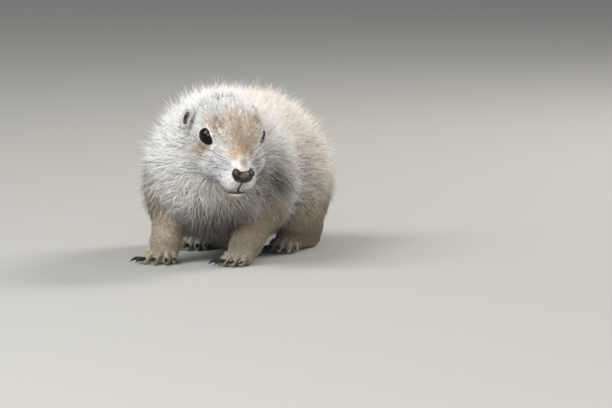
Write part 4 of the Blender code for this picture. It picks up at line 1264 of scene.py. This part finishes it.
def tube_parts(path, radii, sides=8, squash=1.0, closed=False, up=(0, 0, 1)):
    """Points and faces of a tube: circles carried along a path, squashed across. A closed path joins its
    ends, and an open one has a flat cap at each."""
    path, radii = np.asarray(path), np.asarray(radii)
    if closed:
        ahead = unit(np.roll(path, -1, axis=0) - np.roll(path, 1, axis=0))
    else:
        ahead = unit(np.gradient(path, axis=0))
    across = unit(np.cross(ahead, np.asarray(up, float)))
    over = np.cross(across, ahead)
    turns = np.linspace(0, 2 * math.pi, sides, endpoint=False)
    rings = path[:, None] + across[:, None] * (radii[:, None] * np.cos(turns))[..., None]
    rings = rings + over[:, None] * (radii[:, None] * np.sin(turns) * squash)[..., None]
    index = np.arange(len(path) * sides).reshape(len(path), sides)
    following = np.roll(index, -1, axis=0) if closed else index[1:]
    current = index if closed else index[:-1]
    quads = np.stack([current, np.roll(current, -1, 1), np.roll(following, -1, 1), following], axis=-1)
    faces = [*map(tuple, quads.reshape(-1, 4).tolist())]
    if not closed:
        faces += [tuple(index[0][::-1].tolist()), tuple(index[-1].tolist())]
    return rings.reshape(-1, 3), faces


def many_tubes(name, tubes, look):
    """Several tubes as one piece."""
    points, faces, start = [], [], 0
    for tube_points, tube_faces in tubes:
        points.append(tube_points)
        faces += [tuple(corner + start for corner in face) for face in tube_faces]
        start += len(tube_points)
    return place_mesh(name, np.concatenate(points), faces, look)


def make_lid_rim(side, look):
    """The bare dark edge of the lids, an oval on the globe drawn to a point at the front corner."""
    name = "left" if side > 0 else "right"
    centre, axis, long, short = eye_frame(side)
    along, over = lid_oval(np.linspace(0, 2 * math.pi, 72, endpoint=False))
    out = np.sqrt(np.maximum((EYE_RADIUS + 0.1 * MM) ** 2 - along**2 - over**2, (0.6 * MM) ** 2))
    local = centre + axis * out[:, None] + long * along[:, None] + short * over[:, None]
    radii = np.full(72, 0.27 * MM)
    parts = tube_parts(from_local(local), radii, sides=10, closed=True, up=axis @ HEAD_AXES)
    many_tubes(f"lid_rim_{name}", [parts], look)


def face_reach(angles, heights):
    """How far the coat's outside lies from the middle of the lips' bow, at each angle and height."""
    reaches = np.arange(0, 26, 0.1) * MM
    ahead = np.stack([np.cos(angles), np.sin(angles), np.zeros(len(angles))], axis=1)
    start = np.stack([np.full(len(angles), MUZZLE_MIDDLE), np.zeros(len(angles)), heights], axis=1)
    local = start[:, None] + ahead[:, None] * reaches[None, :, None]
    inside = head_field(HEAD_ORIGIN + local.reshape(-1, 3) @ HEAD_AXES).reshape(len(angles), -1) < 0
    return (inside * reaches).max(axis=1)


def make_lips(look):
    """The dark seam of the mouth and the cleft under the nose, lying just inside the coat's outside."""
    angles = np.radians(np.linspace(-36, 36, 49))
    heights = lip_line(angles)
    reach = face_reach(np.abs(angles), heights) - 0.24 * MM
    seam = np.stack([MUZZLE_MIDDLE + reach * np.cos(angles), reach * np.sin(angles), heights], axis=1)
    fade = np.clip(1.1 - (np.abs(angles) / np.radians(37)) ** 2.5, 0.15, 1)
    seam_tube = tube_parts(from_local(seam), 0.30 * MM * fade, sides=8)
    heights = np.linspace(NOSE_TIP[2] - 2.3 * MM, LIP_HEIGHT - 0.1 * MM, 25)
    reach = face_reach(np.zeros(25), heights) - 0.22 * MM
    cleft = np.stack([MUZZLE_MIDDLE + reach, np.zeros(25), heights], axis=1)
    cleft_tube = tube_parts(from_local(cleft), np.full(25, 0.27 * MM), sides=8, up=HEAD_AXES[1])
    many_tubes("lip_seam", [seam_tube, cleft_tube], look)


def surface_along(origin, direction, field, reach=26 * MM):
    """Where a line from inside a form leaves it, the line given by its start and direction in head axes."""
    reaches = np.arange(0, reach, 0.1 * MM)
    local = origin + reaches[:, None] * direction
    inside = field(HEAD_ORIGIN + local @ HEAD_AXES) < 0
    return origin + direction * reaches[inside].max()


def whisker_starts(draw):
    """Places inside the left half of the head, aims and lengths in mm: four rows of five on the muzzle, and
    two on the cheek."""
    starts = []
    for row, rise in enumerate((-8.8, -10.6, -12.4, -14.2)):
        for column in range(5):
            start = mm(11.4 - 1.5 * column - 0.3 * row, 0.0, rise + 0.3 * column)
            aim = unit([0.25 - 0.12 * column, 1.0, 0.30 - 0.18 * row])
            length = (10.0 + 1.9 * column - 0.8 * row) * draw.uniform(0.85, 1.2)
            starts.append((start, aim, length))
    for spot in ((-8, 4, -9), (-9, 4, -12)):
        starts.append((mm(*spot), unit([-0.05, 0.75, 0.2]), 10.0 * draw.uniform(0.8, 1.1)))
    return starts


def make_whiskers(look):
    """Thin dark hairs on each side of the muzzle and on the cheeks. Each leaves its root along its aim,
    sweeps back and droops with the square of its length, and tapers to nothing."""
    draw = np.random.default_rng(SEED + 7)
    share = np.linspace(0, 1, 9)[:, None]
    radii = 0.075 * MM * (1 - share[:, 0]) ** 0.8 + 0.018 * MM
    tubes = []
    for side in (1, -1):
        for start, aim, length in whisker_starts(draw):
            root = surface_along(start, aim, head_field)
            lean = unit(aim + np.array([-0.35, 0.0, 0.05]) + draw.normal(0, 0.11, 3))
            sweep = lean * share + np.array([-0.30, 0.06, -0.16]) * share**2
            path = (root - aim * 0.9 * MM + length * MM * sweep) * np.array([1, side, 1])
            tubes.append(tube_parts(from_local(path), radii, sides=5))
    many_tubes("whiskers", tubes, look)


def make_claws(look):
    """Each claw arches forward and down from its toe to a point just above the floor: oval rings, taller than
    wide, whose radius falls off slowly and then quickly."""
    share = np.linspace(0, 1, 12)
    for kind, legs, toes, length in (("fore", FORELEGS, FORE_TOES, FORE_CLAW_LENGTH),
                                     ("hind", HINDLEGS, HIND_TOES, HIND_CLAW_LENGTH)):
        for side in ("left", "right"):
            tubes = []
            for root, knuckle, tip, ahead, size in toes_of(legs[side], toes, side):
                start = tip - ahead * 1.4 * MM + mm(0, 0, 0.45)
                rise = 1.25 * MM * np.sin(math.pi * share * 0.78) - (start[2] - 0.55 * MM) * share**2
                path = start + np.outer(share * (length * size + 0.9 * MM), ahead)
                path[:, 2] += rise
                radii = 1.08 * MM * size * (1 - share**1.7) ** 0.8 + 0.10 * MM
                tubes.append(tube_parts(path + SHIFT, radii * 0.82, sides=10, squash=1.3))
            claws = many_tubes(f"claws_{kind}_{side}", tubes, look)
            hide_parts(*(f"claw_{kind}_{side}_{number}" for number in range(1, 6)))


def ear_form(points, base):
    """A small round cup on a short stalk rooted in the skin: the solids' own cup, a little thinner, so that
    the fringe ends where the solid does."""
    local = folded(in_head(points))
    stalk = limb(local, base - EAR_OUT * 3.0 * MM, base - EAR_OUT * 8 * MM, 1.9 * MM, 3.0 * MM)
    cup = ellipsoid(local, base - EAR_OUT * 0.7 * MM, mm(2.2, 2.9, 3.7), ear_axes())
    hollow = ellipsoid(local, base + EAR_OUT * 1.1 * MM, mm(2.8, 2.5, 3.3), ear_axes())
    return carve(blend(cup, stalk, 1.2 * MM), hollow, 0.5 * MM)


def make_ear(side, skin_look, fur_look):
    """The ear's cup, bare inside and pale outside, with its fringe. Inside it is painted near black: bare skin
    darkened with painted shade in the hollow.
    """
    name = "left" if side > 0 else "right"
    base = ear_base(side) * [1, side, 1]
    middle = HEAD_ORIGIN + (base - EAR_OUT * 3 * MM) * [1, side, 1] @ HEAD_AXES
    ticks = even_ticks(middle, 11 * MM, 0.27 * MM)
    ear = keep_largest(grid_mesh(f"ear_cup_{name}", lambda points: ear_form(points, base), ticks))
    offset = folded(in_head(coordinates_of(ear)[0] - SHIFT)) - base
    out = offset @ EAR_OUT
    around = offset - np.outer(out, EAR_OUT)
    radius = np.linalg.norm(around @ ear_axes().T / [1, 2.8 * MM, 3.6 * MM], axis=1)
    # The hollow of the cup: bare skin painted near black as shade in the hollow
    cup = (1 - smooth(radius, 0.80, 0.92)) * smooth(out / MM, -2.0, -1.2)
    paint(ear, EAR_SKIN_AND_SHADE * cup[:, None] + CREAM * 0.7 * (1 - cup)[:, None])
    ear.data.materials.append(skin_look)
    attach(ear, "root")
    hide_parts(f"ear_{name}")
    outside = 0.15 + 0.85 * smooth(out / MM, -3.2, -2.0)
    density = (1 - cup) ** 4 * outside * (0.3 + 2.0 * smooth(radius, 0.8, 0.98))
    make_fringe(ear, name, base, side, density, fur_look)


def make_fringe(ear, name, base, side, density, look):
    """Short pale hair round the ear's edge, which leans outwards from the middle of the cup."""
    count = EAR_TUFTS
    roots, leans = scatter(ear, density, count, SEED + 50 + side)
    draw = np.random.default_rng(SEED + 60 + side)
    at = folded(in_head(roots - SHIFT)) - base
    spread = unit(at - np.outer(at @ EAR_OUT, EAR_OUT))
    flow = (unit(spread + 0.30 * EAR_OUT + np.array([-0.2, 0, 0.05])) * [1, side, 1]) @ HEAD_AXES
    flow = unit(flow - leans * (flow * leans).sum(axis=1, keepdims=True) * 0.6)
    lengths = draw.uniform(0.9, 3.4, count) * MM
    lifts = np.radians(draw.uniform(8, 52, count))
    widths = draw.uniform(0.13, 0.24, count) * MM
    hair = WHITE * draw.uniform(0.72, 1.0, (count, 1))
    hair[draw.uniform(0, 1, count) < 0.14] *= 0.5
    tufts = Tufts(roots, leans, flow, lengths, lifts, widths)
    colours = (hair * 0.7, hair * 0.9, hair)
    finish_coat(f"coat_ear_{name}", tufts, False, colours, look, "ear_fur", SEED + 70 + side)


# Tufts stand this close, in shares of the same measure, where the coat is this deep in mm
COAT_DEPTHS, TUFT_DENSITIES = [0.3, 0.6, 1.6, 3.0, 8.0], [6.4, 7.0, 6.0, 3.6, 2.1]


def tuft_density(local):
    """How close tufts stand: closest where the hair is short, none on the eyes, the nose, the lips, the cleft
    over them or the soles."""
    density = np.interp(coat_depth(local) / MM, COAT_DEPTHS, TUFT_DENSITIES)
    density *= smooth(local[:, 2] / MM, 0.4, 1.6)
    side = folded(in_head(local))
    reach, ahead = lid_reach(side)
    density *= smooth(np.where(ahead > 0, reach, 2.0), 1.02, 1.14)
    density *= smooth(nose_form(local), 0.0, 0.6 * MM)
    forward, left, up = (side / MM).T
    angle = np.arctan2(left, forward - MUZZLE_MIDDLE / MM)
    lips = np.abs(up - lip_line(angle) / MM)
    lips = lips + np.maximum(left - 4.6, 0) * 2 + np.maximum(11 - forward, 0) * 2
    cleft = left + np.maximum(up - NOSE_TIP[2] / MM + 2, 0) + np.maximum(LIP_HEIGHT / MM - up, 0)
    cleft = cleft + np.maximum(12 - forward, 0) * 2
    return density * (smooth(lips, 0.22, 0.5) * smooth(cleft, 0.18, 0.42))


def make_coat(skin, look):
    """Hair all over the skin. Short hair on the face and feet is straight spikes, and the rest bent ones, in
    pieces by the part of the body."""
    density = tuft_density(coordinates_of(skin)[0] - SHIFT)
    roots, leans = scatter(skin, density, TUFTS, SEED)
    at = roots - SHIFT
    head, leg, tail = region_shares(at)
    short_hair = coat_depth(at) < (2.3 - 0.5 * leg) * MM
    on_head = head > 0.5
    on_tail = ~on_head & (tail > 0.5)
    on_trunk = ~on_head & (tail <= 0.5)
    kinds = (
        ("coat_face", short_hair & on_head, False, "coat"),
        ("coat_head", ~short_hair & on_head, True, "coat"),
        ("coat_tail", on_tail, True, "tail_fur"),
        ("coat_feet", short_hair & on_trunk, False, "foot_fur"),
        ("coat_legs", ~short_hair & on_trunk & (leg > 0.5), True, "coat"),
        ("coat_body", ~short_hair & on_trunk & (leg <= 0.5), True, "coat"),
    )
    for kind, (name, chosen, bent, slot) in enumerate(kinds):
        order = np.flatnonzero(chosen)
        order = order[np.argsort(at[order, 1] + (0.6 * at[order, 0] if name == "coat_face" else 0))]
        pieces = max(1, math.ceil(len(order) / (BENT_LIMIT if bent else STRAIGHT_LIMIT)))
        for number, rows in enumerate(np.array_split(order, pieces), start=1):
            seed = SEED + 40 * kind + number
            grow_coat(f"{name}_{number}", roots[rows], leans[rows], bent, look, slot, seed)


# Stage and camera. The floor is so wide that its edge lies beyond every view
FLOOR_REACH = 20.0
SKY_STRENGTH = 0.62
COOL_LIGHT, WARM_LIGHT = (0.90, 0.95, 1.0), (1.0, 0.97, 0.93)
LAMPS = (       # name, place and width in metres, power in watts, colour
    ("key", (-0.65, -0.85, 1.05), 1.0, 25.0, COOL_LIGHT),
    ("rim", (0.70, 0.95, 0.85), 0.6, 18.0, WARM_LIGHT),
    ("fill", (0.30, -1.60, 0.50), 1.0, 16.0, WARM_LIGHT),
)
LAMP_AIM = Vector((0, -0.02, 0.04))
CAMERA_AZIMUTH, CAMERA_ELEVATION = math.radians(14), math.radians(5)
CAMERA_DISTANCE = 2.5
CAMERA_LENS, SENSOR_WIDTH = 326.8, 36      # in the camera's own millimetres
AIM_RIGHT, AIM_DOWN = 32.2 * MM, 30.6 * MM  # where the picture's middle lies from the point between the eyes


def make_floor():
    """A pale matt floor."""
    floor = bpy.data.objects.new("floor", bpy.data.meshes.new("floor"))
    corners = [(x * FLOOR_REACH, y * FLOOR_REACH, 0) for x, y in ((-1, -1), (1, -1), (1, 1), (-1, 1))]
    floor.data.from_pydata(corners, [], [(0, 1, 2, 3)])
    bpy.context.scene.collection.objects.link(floor)
    floor.data.materials.append(studio_floor())
    floor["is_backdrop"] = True


def make_light():
    """An overcast sky, a soft high key light, a light behind that rims the coat, and a low fill."""
    bpy.context.scene.view_settings.view_transform = "Standard"
    world = bpy.data.worlds.new("studio")
    bpy.context.scene.world = world
    world.use_nodes = True
    background = world.node_tree.nodes["Background"]
    background.inputs["Color"].default_value = (*SKY_GREY, 1)
    background.inputs["Strength"].default_value = SKY_STRENGTH
    for name, place, size, power, colour in LAMPS:
        light = bpy.data.lights.new(name, "AREA")
        light.shape, light.energy, light.size, light.color = "DISK", power, size, colour
        lamp = bpy.data.objects.new(name, light)
        bpy.context.scene.collection.objects.link(lamp)
        lamp.location = place
        lamp.rotation_euler = (LAMP_AIM - Vector(place)).to_track_quat("-Z", "Y").to_euler()


def make_camera():
    """The photo's view: nearly level and a little to the animal's left, from far off with a long lens."""
    level = math.cos(CAMERA_ELEVATION)
    toward = np.array([math.sin(CAMERA_AZIMUTH) * level, -math.cos(CAMERA_AZIMUTH) * level,
                       math.sin(CAMERA_ELEVATION)])
    right = np.array([math.cos(CAMERA_AZIMUTH), math.sin(CAMERA_AZIMUTH), 0.0])
    up = np.cross(toward, right)
    camera = bpy.data.cameras.new("camera")
    camera.lens, camera.sensor_width, camera.clip_start, camera.clip_end = CAMERA_LENS, SENSOR_WIDTH, 0.1, 20
    holder = bpy.data.objects.new("camera", camera)
    bpy.context.scene.collection.objects.link(holder)
    place = HEAD_ORIGIN + SHIFT + toward * CAMERA_DISTANCE + right * AIM_RIGHT - up * AIM_DOWN
    rows = [[*row, value] for row, value in zip(np.stack([right, up, toward], axis=1), place)]
    holder.matrix_world = Matrix([*rows, [0, 0, 0, 1]])
    bpy.context.scene.camera = holder


def main():
    """All pieces and their materials, then the stage."""
    fur, bare = pup_fur(), furred_skin()
    skin = make_skin(bare)
    make_nose(nose_leather())
    make_lips(lip_skin())
    eye_look, rim_look = wet_eye(), lid_skin()
    for side in (1, -1):
        make_eye(side, eye_look)
        make_lid_rim(side, rim_look)
        make_ear(side, bare, fur)
    make_whiskers(whisker_hair())
    make_claws(claw_horn())
    make_coat(skin, fur)
    make_floor()
    make_light()
    make_camera()


main()
final_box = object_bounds()
boxes = {"cad": cad_box, "visual": final_box}
{name: [list(map(float, corner)) for corner in box] for name, box in boxes.items()}
